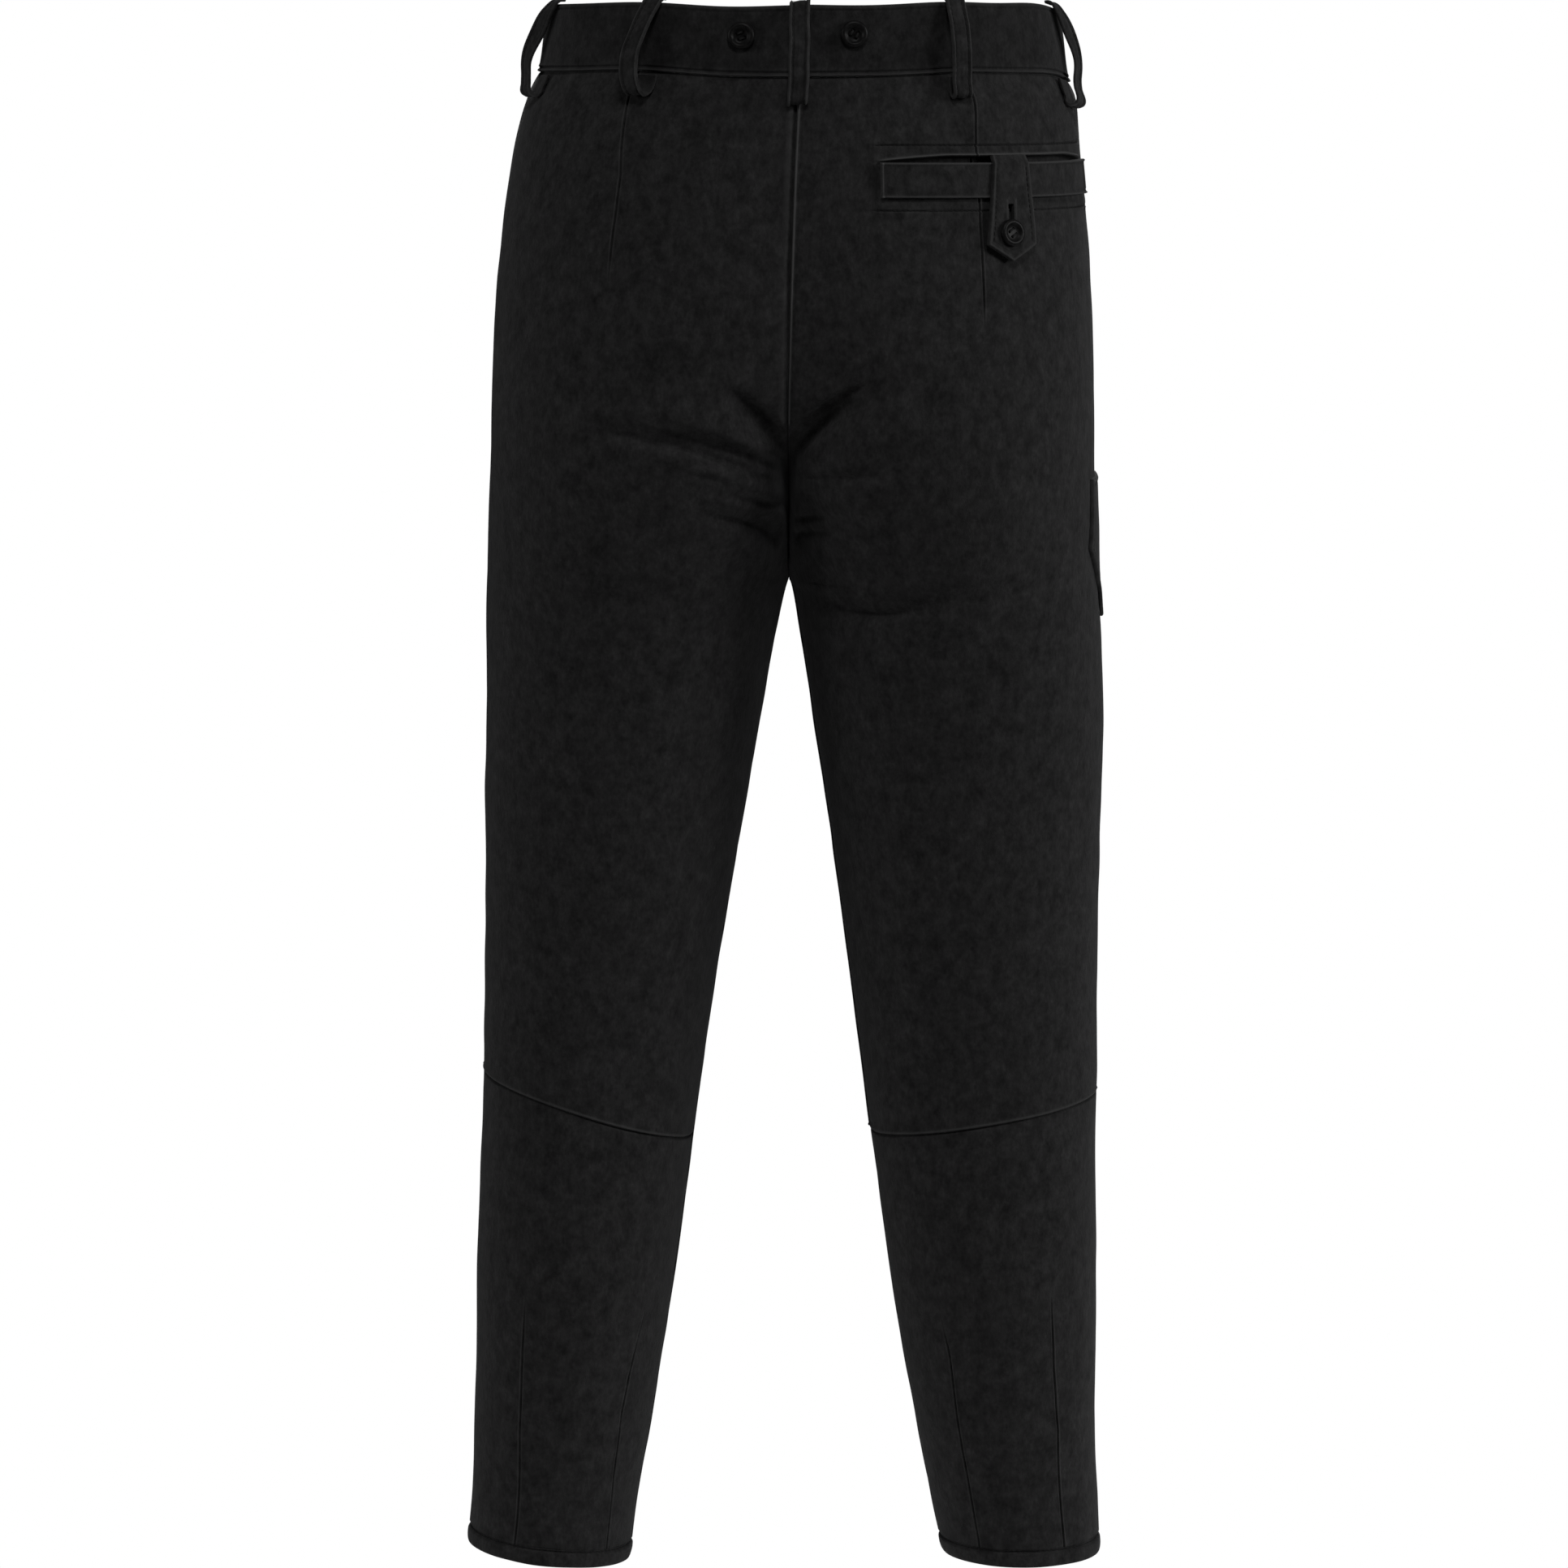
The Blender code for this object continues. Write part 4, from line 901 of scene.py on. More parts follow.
def build_waistband(material):
    """Both halves of the band. The left one laps over the right one's sunk end in front."""
    trim = SEAM_GAP / 2 / QUARTER
    left = np.linspace(trim, 2 + OVERLAP / QUARTER, 190)
    build_band("waistband_left", left, np.zeros(left.shape), material)
    ramp_start = 2 + (OVERLAP + 2) / QUARTER
    ramp_end = ramp_start + OVERLAP_RAMP / QUARTER
    right = np.linspace(2 - UNDERLAP / QUARTER, 4 - trim, 200)
    share = ramp(ramp_end - right, ramp_end - ramp_start)
    sunk = (BAND_THICKNESS + SEAM_GAP + 0.2) * share * share * (3 - 2 * share)
    build_band("waistband_right", right, sunk, material)


def build_fly_shield(material):
    """The strip of cloth behind the front opening."""
    ways = np.linspace(2 - SHIELD_WIDTH / 2 / QUARTER, 2 + SHIELD_WIDTH / 2 / QUARTER, 21)[None, :]
    drops = np.linspace(BAND_SEAM + 3, SHIELD_DROP, 80)[:, None]
    outer = waist_point(ways, drops, -PANEL_CLOTH - SHIELD_GAP)
    inner = waist_point(ways, drops, -2 * PANEL_CLOTH - SHIELD_GAP)
    mesh = shell_mesh("fly_shield", outer, inner, 0.0)
    finish_piece("cloth_fly_shield", mesh, material, "fly_shield")


def loop_path(loop):
    """Drop, distance out, shares of drift and of twist along the middle of a loop's strip."""
    half = LOOP_THICKNESS / 2
    on_cloth = SEAM_GAP + half + LOOP_CLEAR
    on_band = BAND_PROUD + SEAM_GAP + half + LOOP_CLEAR
    fold = loop.fold
    points = [
        (BAND_SEAM + 2.0, on_cloth + 0.6, 0.0, 0.0),
        (loop.foot - fold - 4.0, on_cloth, 0.0, 0.0),
        (loop.foot - fold * 0.3, on_cloth + fold * 0.3, 0.1, 0.1),
        (loop.foot, on_cloth + fold, 0.25, 0.2),
        (loop.foot - fold * 0.5, on_cloth + fold * 1.8, 0.4, 0.3),
        (loop.foot * 0.55 + loop.belly * 0.45, on_band + loop.stand * loop.lower, 0.85, 0.35),
        (loop.belly, on_band + loop.stand, 1.0, 0.45),
        (loop.belly * 0.45 + BAND_TOP * 0.55, on_band + loop.stand * 0.72, 0.5, 1.0),
        (BAND_TOP + 3.0, on_band + loop.stand * loop.top, 0.1, 0.4),
        (BAND_TOP - 1.2, on_band - 0.1, 0.0, 0.0),
        (BAND_TOP - SEAM_GAP - half - 1.0, BAND_PROUD - 0.6, 0.0, 0.0),
        (BAND_TOP - SEAM_GAP - half - 0.8, BAND_PROUD - BAND_THICKNESS + 0.4, 0.0, 0.0),
    ]
    points = np.array(points, float)
    steps = np.concatenate([[0], np.cumsum(np.linalg.norm(np.diff(points[:, :2], axis=0), axis=1))])
    places = np.linspace(0, steps[-1], LOOP_STEPS)
    columns = [curve(places, steps, values, np.gradient(values, steps)) for values in points.T]
    return np.stack(columns, axis=1)


def loop_net(loop, path, across, lift):
    """Places on a loop's strip: across its width, and lifted from the middle of its thickness."""
    slope = np.gradient(path[:, :2], axis=0)
    slope /= np.linalg.norm(slope, axis=1)[:, None]
    way = (loop.way + loop.drift * path[:, 2] / QUARTER)[:, None]
    run = waist_point(way + 0.005, np.array(0.0), 0.0) - waist_point(way - 0.005, np.array(0.0), 0.0)
    run = run / np.linalg.norm(run, axis=-1, keepdims=True)
    twist = math.radians(loop.twist) * path[:, 3][:, None, None]
    run = run * np.cos(twist) + np.cross((0.0, 0.0, 1.0), run) * np.sin(twist)
    drop = path[:, 0][:, None] + lift * slope[:, 1][:, None]
    out = path[:, 1][:, None] - lift * slope[:, 0][:, None]
    return waist_point(np.broadcast_to(way, drop.shape), drop, out) + run * across[..., None]


def build_loop(loop, material):
    """A belt loop: a strip with rolled edges, folded up at its foot and over the band's top."""
    half = LOOP_THICKNESS / 2
    width = LOOP_WIDTH / 2
    face = np.linspace(-1, 1, LOOP_COLUMNS)
    back = face[::2]
    across = np.concatenate([face * (width - 0.3), [width], -back * (width - 0.3), [-width]])
    distance = width * (1 - np.abs(face))
    raised = half - 0.35 + ridges(distance, LOOP_RIDGES)
    lift = np.concatenate([raised, [0.0], np.full(len(back), 0.1 - half), [0.0]])
    down = np.arange(LOOP_STEPS)[:, None] * 0.9
    waves = hills(down, np.full(down.shape, loop.way * 90), size=13, seed=17)
    across = across[None, :] + 0.35 * waves
    net = loop_net(loop, loop_path(loop), across, np.broadcast_to(lift, across.shape))
    painted_highlight = np.zeros(across.shape)
    # Painted highlight on the loop's raised edges
    painted_highlight[:, :LOOP_COLUMNS] = PAINTED_HIGHLIGHT_PER_MM * ridges(distance, LOOP_PAINTED_HIGHLIGHT)
    finish_piece("cloth_" + loop.name, tube_mesh(loop.name, net, False, painted_highlight), material, loop.name)


def button_mesh():
    """A turned button: raised rim, sunk middle and four holes."""
    build = bmesh.new()
    verts = [
        build.verts.new((row.radius * BUTTON_RADIUS * MM, 0.0, row.height * BUTTON_THICKNESS * MM))
        for row in BUTTON_PROFILE
    ]
    edges = [build.edges.new(pair) for pair in zip(verts, verts[1:])]
    bmesh.ops.spin(
        build, geom=verts + edges, cent=(0, 0, 0), axis=(0, 0, 1), angle=2 * math.pi, steps=64,
        use_merge=True,
    )
    bmesh.ops.remove_doubles(build, verts=build.verts[:], dist=1e-6)
    bmesh.ops.recalc_face_normals(build, faces=build.faces[:])
    mesh = bpy.data.meshes.new("button")
    build.to_mesh(mesh)
    build.free()
    body = add_object("button_body", mesh)
    build = bmesh.new()
    for x, y in ((1, 1), (1, -1), (-1, 1), (-1, -1)):
        place = Matrix.Translation((x * BUTTON_HOLE_PLACE * MM, y * BUTTON_HOLE_PLACE * MM, 0.0))
        radius = BUTTON_HOLE_RADIUS * MM
        bmesh.ops.create_cone(
            build, segments=20, radius1=radius, radius2=radius, depth=12 * MM, cap_ends=True, matrix=place
        )
    holes_mesh = bpy.data.meshes.new("button_holes")
    build.to_mesh(holes_mesh)
    build.free()
    holes = add_object("button_holes", holes_mesh)
    cut = body.modifiers.new("holes", "BOOLEAN")
    cut.object = holes
    cut.operation = "DIFFERENCE"
    cut.solver = "EXACT"
    bpy.context.view_layer.update()
    drilled = bpy.data.meshes.new_from_object(body.evaluated_get(bpy.context.evaluated_depsgraph_get()))
    bpy.data.objects.remove(body)
    bpy.data.objects.remove(holes)
    drilled.name = "drilled_button"
    return drilled


def upright(outward, turn):
    """The turn of a flat piece so that it faces outward, turned on itself by some degrees."""
    return outward.to_track_quat("Z", "Y").to_matrix().to_4x4() @ Matrix.Rotation(math.radians(turn), 4, "Z")


def waist_place(way, drop, lift):
    """A spot on the band and the way out of it."""
    place = waist_point(way, np.array(drop), lift)
    run = waist_point(way + 0.01, np.array(drop), lift) - waist_point(way - 0.01, np.array(drop), lift)
    rise = waist_point(way, np.array(drop - 5.0), lift) - waist_point(way, np.array(drop + 5.0), lift)
    outward = Vector(run).cross(Vector(rise))
    if outward.dot(Vector((place[0], place[1], 0.0))) < 0:
        outward.negate()
    return Vector(place), outward.normalized()


def put_button(name, mesh, place, outward, turn, horn, thread):
    """One button and the thread that holds it."""
    matrix = Matrix.Translation(place * MM) @ upright(outward, turn)
    body = mesh.copy()
    body.transform(matrix)
    finish_piece("horn_" + name, body, horn, name, soft_angle=40)
    threads = []
    for y in (-BUTTON_HOLE_PLACE, BUTTON_HOLE_PLACE):
        for lane in (-THREAD_LANE, THREAD_LANE):
            steps = np.linspace(-1, 1, 9)
            x = steps * THREAD_REACH
            z = 1.15 + 0.85 * np.sqrt(np.clip(1 - steps**2, 0, 1))
            line = [matrix @ Vector((a * MM, (y + lane) * MM, c * MM)) for a, c in zip(x, z)]
            threads.append(np.array(line) / MM)
    joined([cord_net(line, THREAD_RADIUS) for line in threads], "thread_" + name, thread)


def cord_net(line, radius):
    """Rings round a short line."""
    along = np.gradient(line, axis=0)
    along /= np.linalg.norm(along, axis=1)[:, None]
    helper = np.where(np.abs(along[:, [2]]) < 0.9, [[0.0, 0.0, 1.0]], [[1.0, 0.0, 0.0]])
    first = np.cross(along, helper)
    first /= np.linalg.norm(first, axis=1)[:, None]
    second = np.cross(along, first)
    angles = np.linspace(0, 2 * math.pi, STITCH_SIDES, endpoint=False)
    ends = np.sin(np.linspace(0.25, math.pi - 0.25, len(line))) ** 0.4
    ring = np.cos(angles)[None, :, None] * first[:, None] + np.sin(angles)[None, :, None] * second[:, None]
    return line[:, None] + ring * radius * ends[:, None, None]


def joined(nets, name, material):
    """One mesh of many small closed bars."""
    faces = []
    start = 0
    for net in nets:
        steps, around = net.shape[:2]
        faces += list(net_faces(steps, around, start, around_columns=True)[:, ::-1])
        faces.append(start + np.arange(around))
        faces.append(start + steps * around - 1 - np.arange(around))
        start += steps * around
    points = np.concatenate([net.reshape(-1, 3) for net in nets])
    finish_piece(name, outward_mesh(name, points, faces), material, None)


def stitches_on(line):
    """Short threads along a line of close points, each dipping into the cloth at its ends."""
    steps = np.linalg.norm(np.diff(line, axis=0), axis=1)
    run = np.concatenate([[0], np.cumsum(steps)])
    count = int(run[-1] // (STITCH_LENGTH + STITCH_GAP))
    nets = []
    for k in range(count):
        start = (k + 0.15) * run[-1] / count
        places = start + np.linspace(0, STITCH_LENGTH, 4)
        points = np.stack([np.interp(places, run, line[:, axis]) for axis in range(3)], axis=1)
        nets.append(cord_net(points, STITCH_RADIUS))
    return nets


def seam_line(side, alongs, drops, lift, count):
    """Close points along a few places on the cloth."""
    knots = np.linspace(0, 1, len(alongs))
    share = np.linspace(0, 1, count)
    along = np.interp(share, knots, alongs)
    drop = np.interp(share, knots, drops)
    return spot(side, along, drop, lift)


def tab_middle(drops):
    """Where the middle of the pocket tab lies, as it slants away from the side seam."""
    slant = (TAB_SHOULDER_ALONG - TAB_TOP_ALONG) / (TAB_SHOULDER - TAB_TOP)
    return TAB_TOP_ALONG + (drops - TAB_TOP) * slant


def tab_places(share, across):
    """Drop and distance from the side seam of places on the tab."""
    end = TAB_SHOULDER + (TAB_POINT - TAB_SHOULDER) * (1 - np.abs(across))
    drops = TAB_TOP + share * (end - TAB_TOP)
    spread = np.interp(drops, [TAB_TOP, TAB_SHOULDER], [TAB_TOP_WIDTH / 2, TAB_WIDTH / 2])
    return drops, tab_middle(drops) + across * spread, spread, end


def build_back_pocket(cloth, button, horn, thread):
    """The welt, the tab with its buttonhole, and its button, on the wearer's right."""
    width = WELT_INNER - WELT_OUTER
    share = graded(width, step=2.6, marks=[(0, 12, 1.6), (width, 12, 1.6)])[None, :] / width
    rows = graded(WELT_HEIGHT, step=1.2, marks=[(0, 6, 1.6), (WELT_HEIGHT, 6, 1.6)])
    drops = WELT_TOP + rows[:, None]
    inner_end = WELT_INNER + WELT_SLANT * (drops - WELT_TOP)
    along = WELT_OUTER + share * (inner_end - WELT_OUTER)
    drops = np.broadcast_to(drops, along.shape)
    inset = np.minimum(along - WELT_OUTER, inner_end - along)
    low = WELT_TOP + WELT_HEIGHT - drops
    relief = ridges(inset, WELT_ENDS) + ridges(low, WELT_FOOT) + ridges(drops - WELT_TOP, WELT_HEAD)
    relief += ridges(np.minimum(inset, low), WELT_ROUND) + 0.1 * hills(along, drops, size=19, seed=3)
    outer = spot(RIGHT, along, drops, SEAM_GAP + PANEL_CLOTH + relief)
    inner = spot(RIGHT, along, drops, SEAM_GAP)
    # Painted highlight on the welt's raised edges
    mesh = shell_mesh("welt", outer, inner, relief * PAINTED_HIGHLIGHT_PER_MM)
    finish_piece("cloth_back_pocket_welt", mesh, cloth, "back_pocket_welt")

    share = np.concatenate([[0, 0.02, 0.045, 0.065, 0.09], np.linspace(0.1, 1, 110)])[:, None]
    across = np.linspace(-1, 1, 61)[None, :]
    drops, along, spread, end = tab_places(share, across)
    to_side = spread * (1 - np.abs(across))
    to_end = (end - drops) * 0.85
    inset = np.minimum(to_side, to_end)
    relief = ridges(inset, TAB_RIDGES)
    hole_along = np.abs(along - tab_middle(drops) - TAB_BUTTON_SHIFT + 0.4)
    beside_hole = ramp(BUTTONHOLE_LOW + 1 - drops, 3) * (drops > BUTTONHOLE_TOP - 2.5)
    relief += 0.35 * bump(hole_along, BUTTONHOLE_HALF + 0.8, 0.7) * beside_hole
    lift = SEAM_GAP + (PANEL_CLOTH + SEAM_GAP + 0.1) * ramp(share, 0.09)
    inner = spot(RIGHT, along, drops, lift)
    outer = spot(RIGHT, along, drops, lift + PANEL_CLOTH + relief)
    in_hole = (hole_along < BUTTONHOLE_HALF) & (drops > BUTTONHOLE_TOP) & (drops < BUTTONHOLE_LOW)
    missing = in_hole[:-1, :-1] & in_hole[1:, :-1] & in_hole[:-1, 1:] & in_hole[1:, 1:]
    # The tab's raised edges get painted highlight
    finish_piece("cloth_pocket_tab", shell_mesh("tab", outer, inner, relief, missing), cloth, "pocket_tab")

    middle = tab_middle(TAB_BUTTON_DROP) + TAB_BUTTON_SHIFT
    lift = 2 * (PANEL_CLOTH + SEAM_GAP) + SEAM_GAP + 0.15
    place = spot(RIGHT, middle, TAB_BUTTON_DROP, lift, folds=False)
    beside = spot(RIGHT, middle + 4, TAB_BUTTON_DROP, lift, folds=False)
    above = spot(RIGHT, middle, TAB_BUTTON_DROP - 8, lift, folds=False)
    outward = Vector(beside - place).cross(Vector(above - place))
    if outward.y < 0:
        outward.negate()
    put_button("pocket_tab_button", button, Vector(place), outward.normalized(), 30, horn, thread)


def build_side_pocket(cloth):
    """The long pocket on the outer seam of the wearer's right leg, slanted off at its foot."""
    corners = [edge.drop for edge in SIDE_POCKET_BACK]
    length = corners[-1] - corners[0]
    drops = corners[0] + graded(length, step=1.8, marks=[(0, 3, 3), (length, 3, 3)])[:, None]
    back_edge = np.interp(drops, corners, [edge.along for edge in SIDE_POCKET_BACK])
    width = 70
    share = graded(width, step=2.2, marks=[(0, 4, 3), (width, 4, 3)])[None, :] / width
    along = back_edge + share * (SIDE_POCKET_FRONT - back_edge)
    inset = np.minimum(back_edge - along, along - SIDE_POCKET_FRONT)
    inset = np.minimum(inset, np.minimum(drops - corners[0], corners[-1] - drops))
    relief = ridges(inset, SIDE_POCKET_RIDGES)
    outer = spot(RIGHT, along, drops, SEAM_GAP + PANEL_CLOTH + relief)
    inner = spot(RIGHT, along, drops, SEAM_GAP)
    # The pocket's raised edges get painted highlight
    finish_piece("cloth_side_pocket", shell_mesh("side_pocket", outer, inner, relief), cloth, "side_pocket")


def build_stitching(thread):
    """Rows of stitches on the band, the loops, the hems, the pockets and the fly."""
    nets = []
    slant = WELT_SLANT * (PATCH_LOW - PATCH_TOP)
    top_end = WELT_INNER + PATCH_MARGIN - WELT_SLANT * (WELT_TOP - PATCH_TOP)
    for alongs, drops in (
        ((WELT_OUTER, top_end), (PATCH_TOP, PATCH_TOP)),
        ((WELT_OUTER, top_end + slant), (PATCH_LOW, PATCH_LOW)),
        ((top_end, top_end + slant), (PATCH_TOP, PATCH_LOW)),
    ):
        nets += stitches_on(seam_line(RIGHT, alongs, drops, lift=-0.35, count=160))
    alongs = [edge.along for edge in SIDE_POCKET_STITCHES]
    drops = [edge.drop for edge in SIDE_POCKET_STITCHES]
    nets += stitches_on(seam_line(RIGHT, alongs, drops, lift=SEAM_GAP + PANEL_CLOTH - 0.15, count=60))
    joined(nets, "stitches_pockets", thread)

    share = np.linspace(0.12, 0.93, 60)
    nets = []
    for across in (-TAB_STITCH_ACROSS, TAB_STITCH_ACROSS):
        drops, along, _, _ = tab_places(share, np.full(60, across))
        nets += stitches_on(spot(RIGHT, along, drops, 2 * PANEL_CLOTH + 3 * SEAM_GAP - 0.15))
    joined(nets, "stitches_tab", thread)

    nets = []
    for ways in (np.linspace(0.01, 1.98, 500), np.linspace(2.16, 3.99, 500)):
        drop = BAND_SEAM - SEAM_GAP / 2 - BAND_STITCH_INSET
        nets += stitches_on(waist_point(ways, drop, BAND_PROUD - 0.32))
    joined(nets, "stitches_band", thread)

    nets = []
    for side in (LEFT, RIGHT):
        turns = np.linspace(1, -1, 400)
        drops = hem_drop(side, turns) - HEM_GROOVE
        nets += stitches_on(cloth_point(side, drops, turns, sink=1.6 - HEM_PROUD, trim=0.0))
    joined(nets, "stitches_hems", thread)

    nets = []
    for loop in BELT_LOOPS:
        path = loop_path(loop)[LOOP_SEWN_STEPS:]
        for across in (-LOOP_STITCH_ACROSS, LOOP_STITCH_ACROSS):
            line = loop_net(loop, path, np.full((len(path), 1), across), np.full((len(path), 1), 0.45))
            nets += stitches_on(line[:, 0])
    joined(nets, "stitches_loops", thread)

    drops = np.linspace(24, 189, 160)
    width = fly_edge(drops, FLY_WIDTH - 2 * FLY_STITCH_INSET, FLY_LENGTH - 2) + FLY_STITCH_INSET
    along = MEASURE[LEFT].along_at(drops, np.full(drops.shape, -1.0)) + width
    joined(stitches_on(spot(LEFT, along, drops, 0.55)), "stitches_fly", thread)


# Materials

def shader_of(material):
    """The material's nodes, its links and its Principled shader."""
    material.use_nodes = True
    nodes = material.node_tree.nodes
    return nodes, material.node_tree.links, nodes["Principled BSDF"]


def noise_node(nodes, links, coordinates, scale, stretch, detail, roughness):
    """A noise texture, stretched along the garment."""
    mapping = nodes.new("ShaderNodeMapping")
    mapping.inputs["Scale"].default_value = stretch
    links.new(coordinates.outputs["Object"], mapping.inputs["Vector"])
    noise = nodes.new("ShaderNodeTexNoise")
    noise.inputs["Scale"].default_value = scale
    noise.inputs["Detail"].default_value = detail
    noise.inputs["Roughness"].default_value = roughness
    links.new(mapping.outputs["Vector"], noise.inputs["Vector"])
    return noise


def ramp_node(nodes, links, source, low, high, dark, light):
    """Turns part of a texture's range into two shades with a soft change between them."""
    ramp = nodes.new("ShaderNodeValToRGB")
    ramp.color_ramp.elements[0].position = low
    ramp.color_ramp.elements[0].color = (*dark, 1)
    ramp.color_ramp.elements[1].position = high
    ramp.color_ramp.elements[1].color = (*light, 1)
    links.new(source.outputs["Fac"], ramp.inputs["Fac"])
    return ramp


def mix_node(nodes, blend_type, factor):
    """Mixes two colours: inputs 6 and 7 are the colours and output 2 is the mixture."""
    mix = nodes.new("ShaderNodeMix")
    mix.data_type = "RGBA"
    mix.blend_type = blend_type
    mix.inputs["Factor"].default_value = factor
    return mix


def bump_node(nodes, links, source, strength, distance):
    """Small unevenness of a surface."""
    node = nodes.new("ShaderNodeBump")
    node.inputs["Strength"].default_value = strength
    node.inputs["Distance"].default_value = distance
    links.new(source.outputs["Fac"], node.inputs["Height"])
    return node


def cloth_material(name, shade):
    """Black brushed cloth: a short streaky nap over cloudy dye, with painted highlight on raised seams and
    edges.
    """
    material = bpy.data.materials.new(name)
    nodes, links, shader = shader_of(material)
    shader.inputs["Roughness"].default_value = 0.95
    shader.inputs["Specular IOR Level"].default_value = 0.05
    shader.inputs["Sheen Weight"].default_value = 0.03
    shader.inputs["Sheen Roughness"].default_value = 0.5
    shader.inputs["Sheen Tint"].default_value = (0.75, 0.75, 0.77, 1)
    where = nodes.new("ShaderNodeTexCoord")
    clouds = noise_node(nodes, links, where, scale=130, stretch=(1, 1, 0.8), detail=6, roughness=0.72)
    streaks = noise_node(nodes, links, where, scale=480, stretch=(1, 1, 0.6), detail=3, roughness=0.6)
    dark = tuple(shade * 0.42 for _ in range(3))
    light = (shade * 1.58, shade * 1.57, shade * 1.58)
    base = ramp_node(nodes, links, clouds, 0.30, 0.70, dark, light)
    nap = ramp_node(nodes, links, streaks, 0.32, 0.68, (0.62, 0.62, 0.62), (1.0, 1.0, 1.0))
    mix = mix_node(nodes, "MULTIPLY", factor=1.0)
    links.new(base.outputs["Color"], mix.inputs[6])
    links.new(nap.outputs["Color"], mix.inputs[7])
    # Painted highlight: raised edges and seams are painted up to three times lighter than the cloth
    highlight_share = nodes.new("ShaderNodeAttribute")
    highlight_share.attribute_name = "painted_highlight"
    lighter = mix_node(nodes, "MIX", factor=0.0)
    lighter.inputs[7].default_value = (shade * 3.0, shade * 3.0, shade * 3.0, 1)
    links.new(highlight_share.outputs["Fac"], lighter.inputs["Factor"])
    links.new(mix.outputs[2], lighter.inputs[6])
    links.new(lighter.outputs[2], shader.inputs["Base Color"])
    fibres = noise_node(nodes, links, where, scale=1500, stretch=(1, 1, 0.55), detail=2, roughness=0.6)
    fine = bump_node(nodes, links, fibres, strength=0.35, distance=0.0004)
    coarse = bump_node(nodes, links, streaks, strength=0.30, distance=0.0010)
    links.new(fine.outputs["Normal"], coarse.inputs["Normal"])
    links.new(coarse.outputs["Normal"], shader.inputs["Normal"])
    return material


def horn_material():
    """Black horn, dark and smooth, with faint marks."""
    material = bpy.data.materials.new("black_horn")
    nodes, links, shader = shader_of(material)
    shader.inputs["Specular IOR Level"].default_value = 0.04
    where = nodes.new("ShaderNodeTexCoord")
    marks = noise_node(nodes, links, where, scale=500, stretch=(1, 1, 1), detail=4, roughness=0.6)
    tint = ramp_node(nodes, links, marks, 0.35, 0.75, (0.0022, 0.0022, 0.0023), (0.0052, 0.0050, 0.0049))
    links.new(tint.outputs["Color"], shader.inputs["Base Color"])
    rough = nodes.new("ShaderNodeMapRange")
    rough.inputs["To Min"].default_value = 0.34
    rough.inputs["To Max"].default_value = 0.50
    links.new(marks.outputs["Fac"], rough.inputs["Value"])
    links.new(rough.outputs["Result"], shader.inputs["Roughness"])
    return material


def thread_material():
    """Black sewing thread with a faint gloss and its ply."""
    material = bpy.data.materials.new("black_thread")
    nodes, links, shader = shader_of(material)
    shader.inputs["Roughness"].default_value = 0.85
    shader.inputs["Specular IOR Level"].default_value = 0.08
    where = nodes.new("ShaderNodeTexCoord")
    ply = noise_node(nodes, links, where, scale=2200, stretch=(1, 1, 1), detail=2, roughness=0.5)
    tint = ramp_node(nodes, links, ply, 0.35, 0.7, (0.005, 0.005, 0.005), (0.009, 0.009, 0.009))
    links.new(tint.outputs["Color"], shader.inputs["Base Color"])
    return material


# The breeches

CLOTH_SHADE = 0.0098
# Painted shade: the waistband is the same cloth painted darker
BAND_PAINTED_SHADE = 0.8
cloth = cloth_material("black_brushed_cloth", CLOTH_SHADE)
horn = horn_material()
thread = thread_material()
for side in (LEFT, RIGHT):
    build_back(side, cloth)
    build_calf(side, cloth)
    build_front(side, cloth)
    build_hem(side, cloth)
# The band's material is the cloth's with painted shade
build_waistband(cloth_material("band_cloth_painted_shade", CLOTH_SHADE * BAND_PAINTED_SHADE))
build_fly_shield(cloth)
for loop in BELT_LOOPS:
    build_loop(loop, cloth)
button = button_mesh()
for row in BAND_BUTTONS:
    place, outward = waist_place(row.way, row.drop, BAND_PROUD + SEAM_GAP + 0.15)
    put_button(row.name, button, place, outward, row.turn, horn, thread)
build_back_pocket(cloth, button, horn, thread)
build_side_pocket(cloth)
build_stitching(thread)

# The floor, the lights and the camera

FLOOR_DROP = 1.25
bpy.ops.mesh.primitive_plane_add(size=2.4, location=(0, 0, -FLOOR_DROP))
floor = bpy.context.object
floor.name = "floor"
paint = bpy.data.materials.new("pale_floor")
paint.use_nodes = True
paint.node_tree.nodes["Principled BSDF"].inputs["Base Color"].default_value = (0.93, 0.93, 0.93, 1)
paint.node_tree.nodes["Principled BSDF"].inputs["Roughness"].default_value = 0.9
floor.data.materials.append(paint)

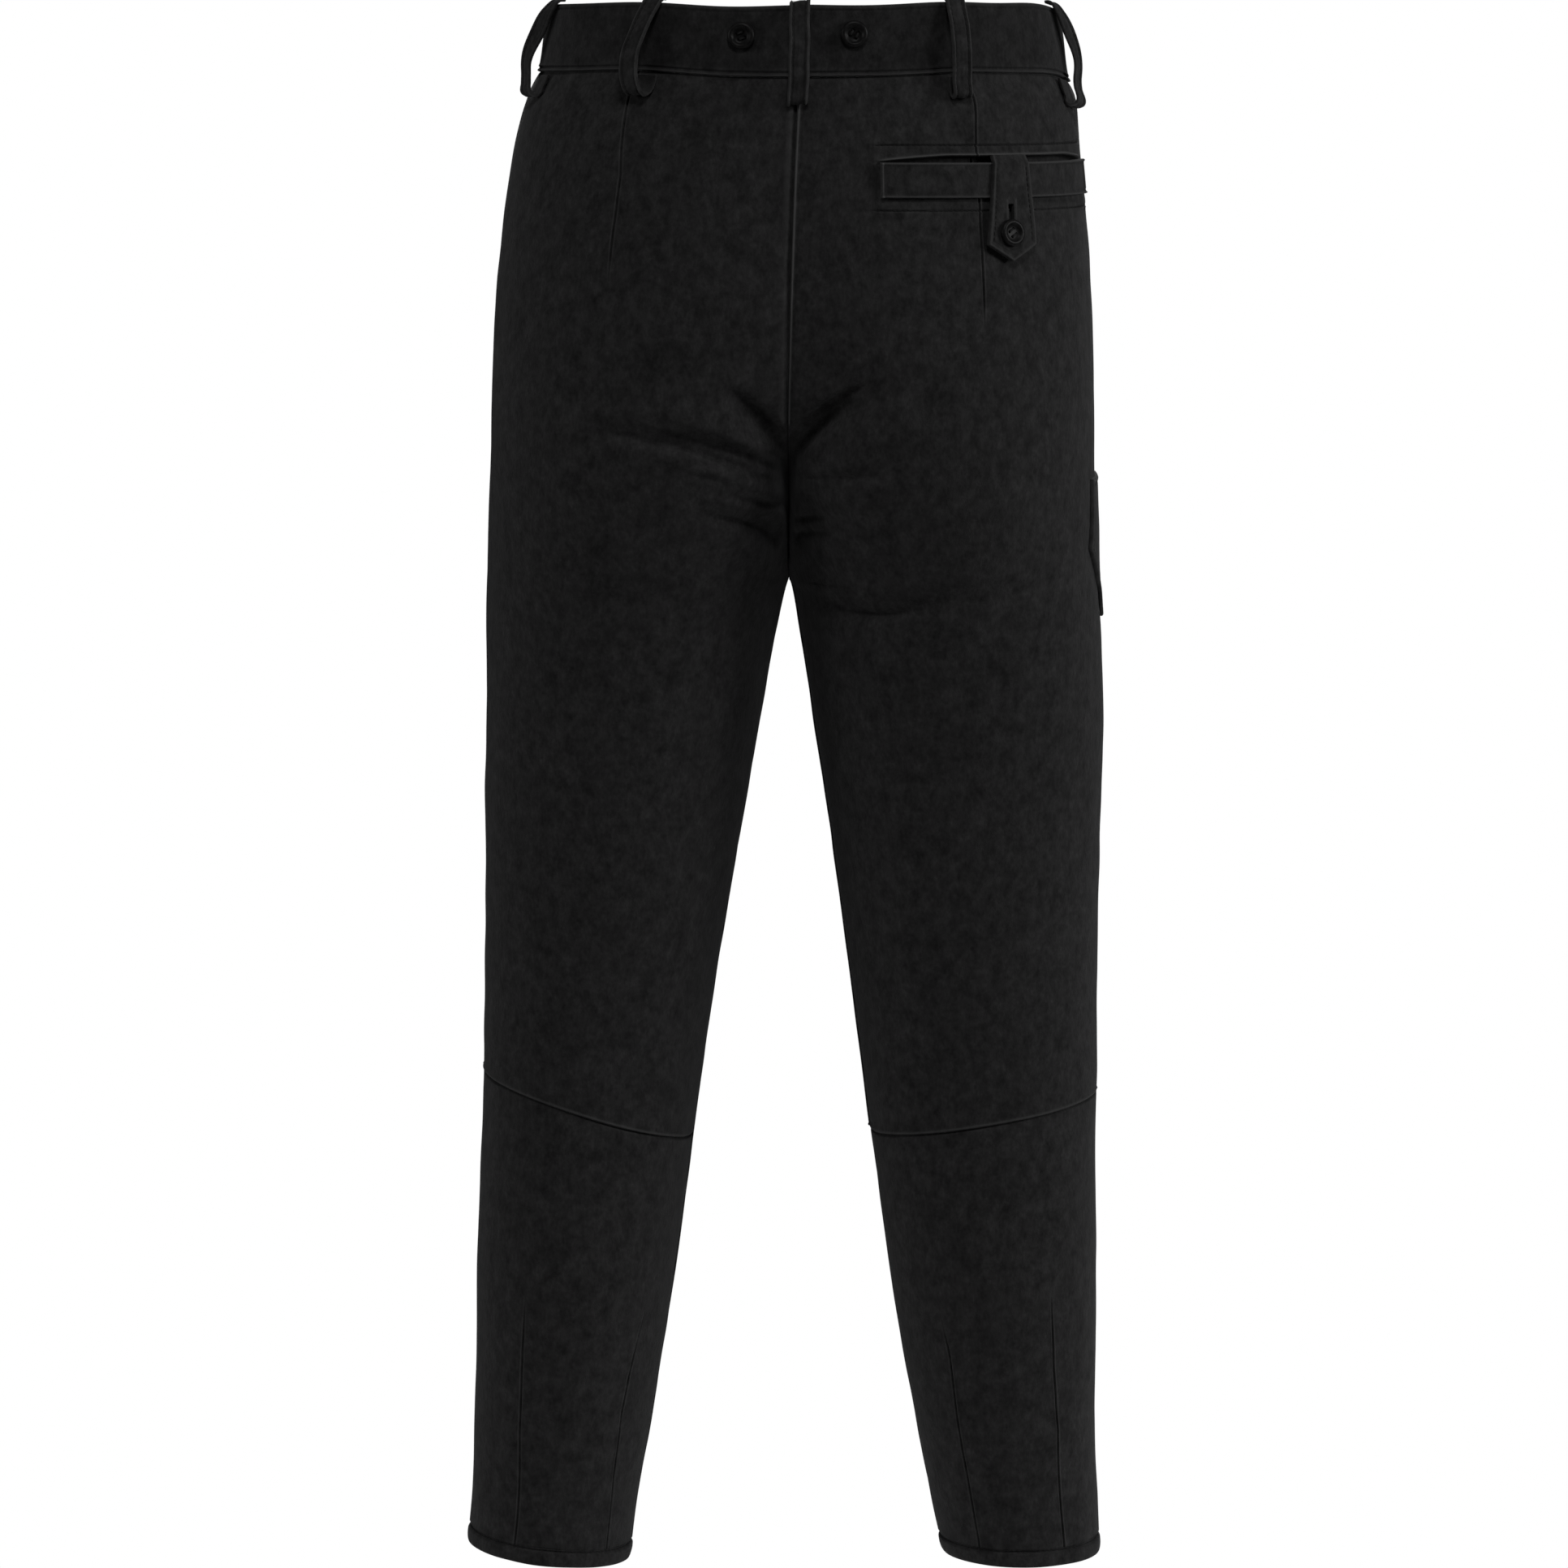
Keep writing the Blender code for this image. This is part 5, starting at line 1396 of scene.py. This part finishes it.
world = bpy.data.worlds.new("studio")
bpy.context.scene.world = world
world.use_nodes = True
backdrop = world.node_tree.nodes["Background"]
backdrop.inputs["Color"].default_value = (1, 1, 1, 1)
rays = world.node_tree.nodes.new("ShaderNodeLightPath")
brightness = world.node_tree.nodes.new("ShaderNodeMapRange")
brightness.inputs["To Min"].default_value = 0.05
brightness.inputs["To Max"].default_value = 1.0
world.node_tree.links.new(rays.outputs["Is Camera Ray"], brightness.inputs["Value"])
world.node_tree.links.new(brightness.outputs["Result"], backdrop.inputs["Strength"])
bpy.context.scene.view_settings.view_transform = "Standard"


LIT_POINT = Vector((0, 0, -0.45))


def add_light(name, place, size, power):
    """A soft square light aimed at the garment."""
    data = bpy.data.lights.new(name, "AREA")
    data.shape = "SQUARE"
    data.size = size
    data.energy = power
    lamp = add_object(name, data)
    lamp.location = place
    lamp.rotation_euler = (LIT_POINT - Vector(place)).to_track_quat("-Z", "Y").to_euler()


add_light("right", (-3.6, 0.9, 0.9), size=1.3, power=158)
add_light("left", (3.5, 1.2, 0.7), size=1.3, power=67)
add_light("above", (-0.3, 3.0, 3.2), size=0.9, power=128)
add_light("front", (0, -3.4, 1.3), size=1.4, power=115)

# The camera stands behind the garment and looks slightly down, a little turned and tilted
EYE = (0.0049, 4.6, 0.10)
PITCH = math.radians(6.90)
ROLL = math.radians(0.60)
YAW = math.radians(1.3)
PIXELS = 1932
FOCAL_PIXELS = 9268
SENSOR = 36
forward = Vector((0, -math.cos(PITCH), -math.sin(PITCH)))
level = Vector((-1, 0, 0))
upward = level.cross(forward)
across = level * math.cos(ROLL) + upward * math.sin(ROLL)
upward = upward * math.cos(ROLL) - level * math.sin(ROLL)
axes = Matrix((across, upward, -forward)).transposed().to_4x4()
camera_data = bpy.data.cameras.new("camera")
camera_data.sensor_width = SENSOR
camera_data.lens = FOCAL_PIXELS / PIXELS * SENSOR
camera = add_object("camera", camera_data)
camera.matrix_world = Matrix.Rotation(YAW, 4, "Z") @ Matrix.Translation(EYE) @ axes
bpy.context.scene.camera = camera

# Each piece of cloth as it was cut: width, length and area, in metres
Cut = namedtuple("Cut", "names width length area held")
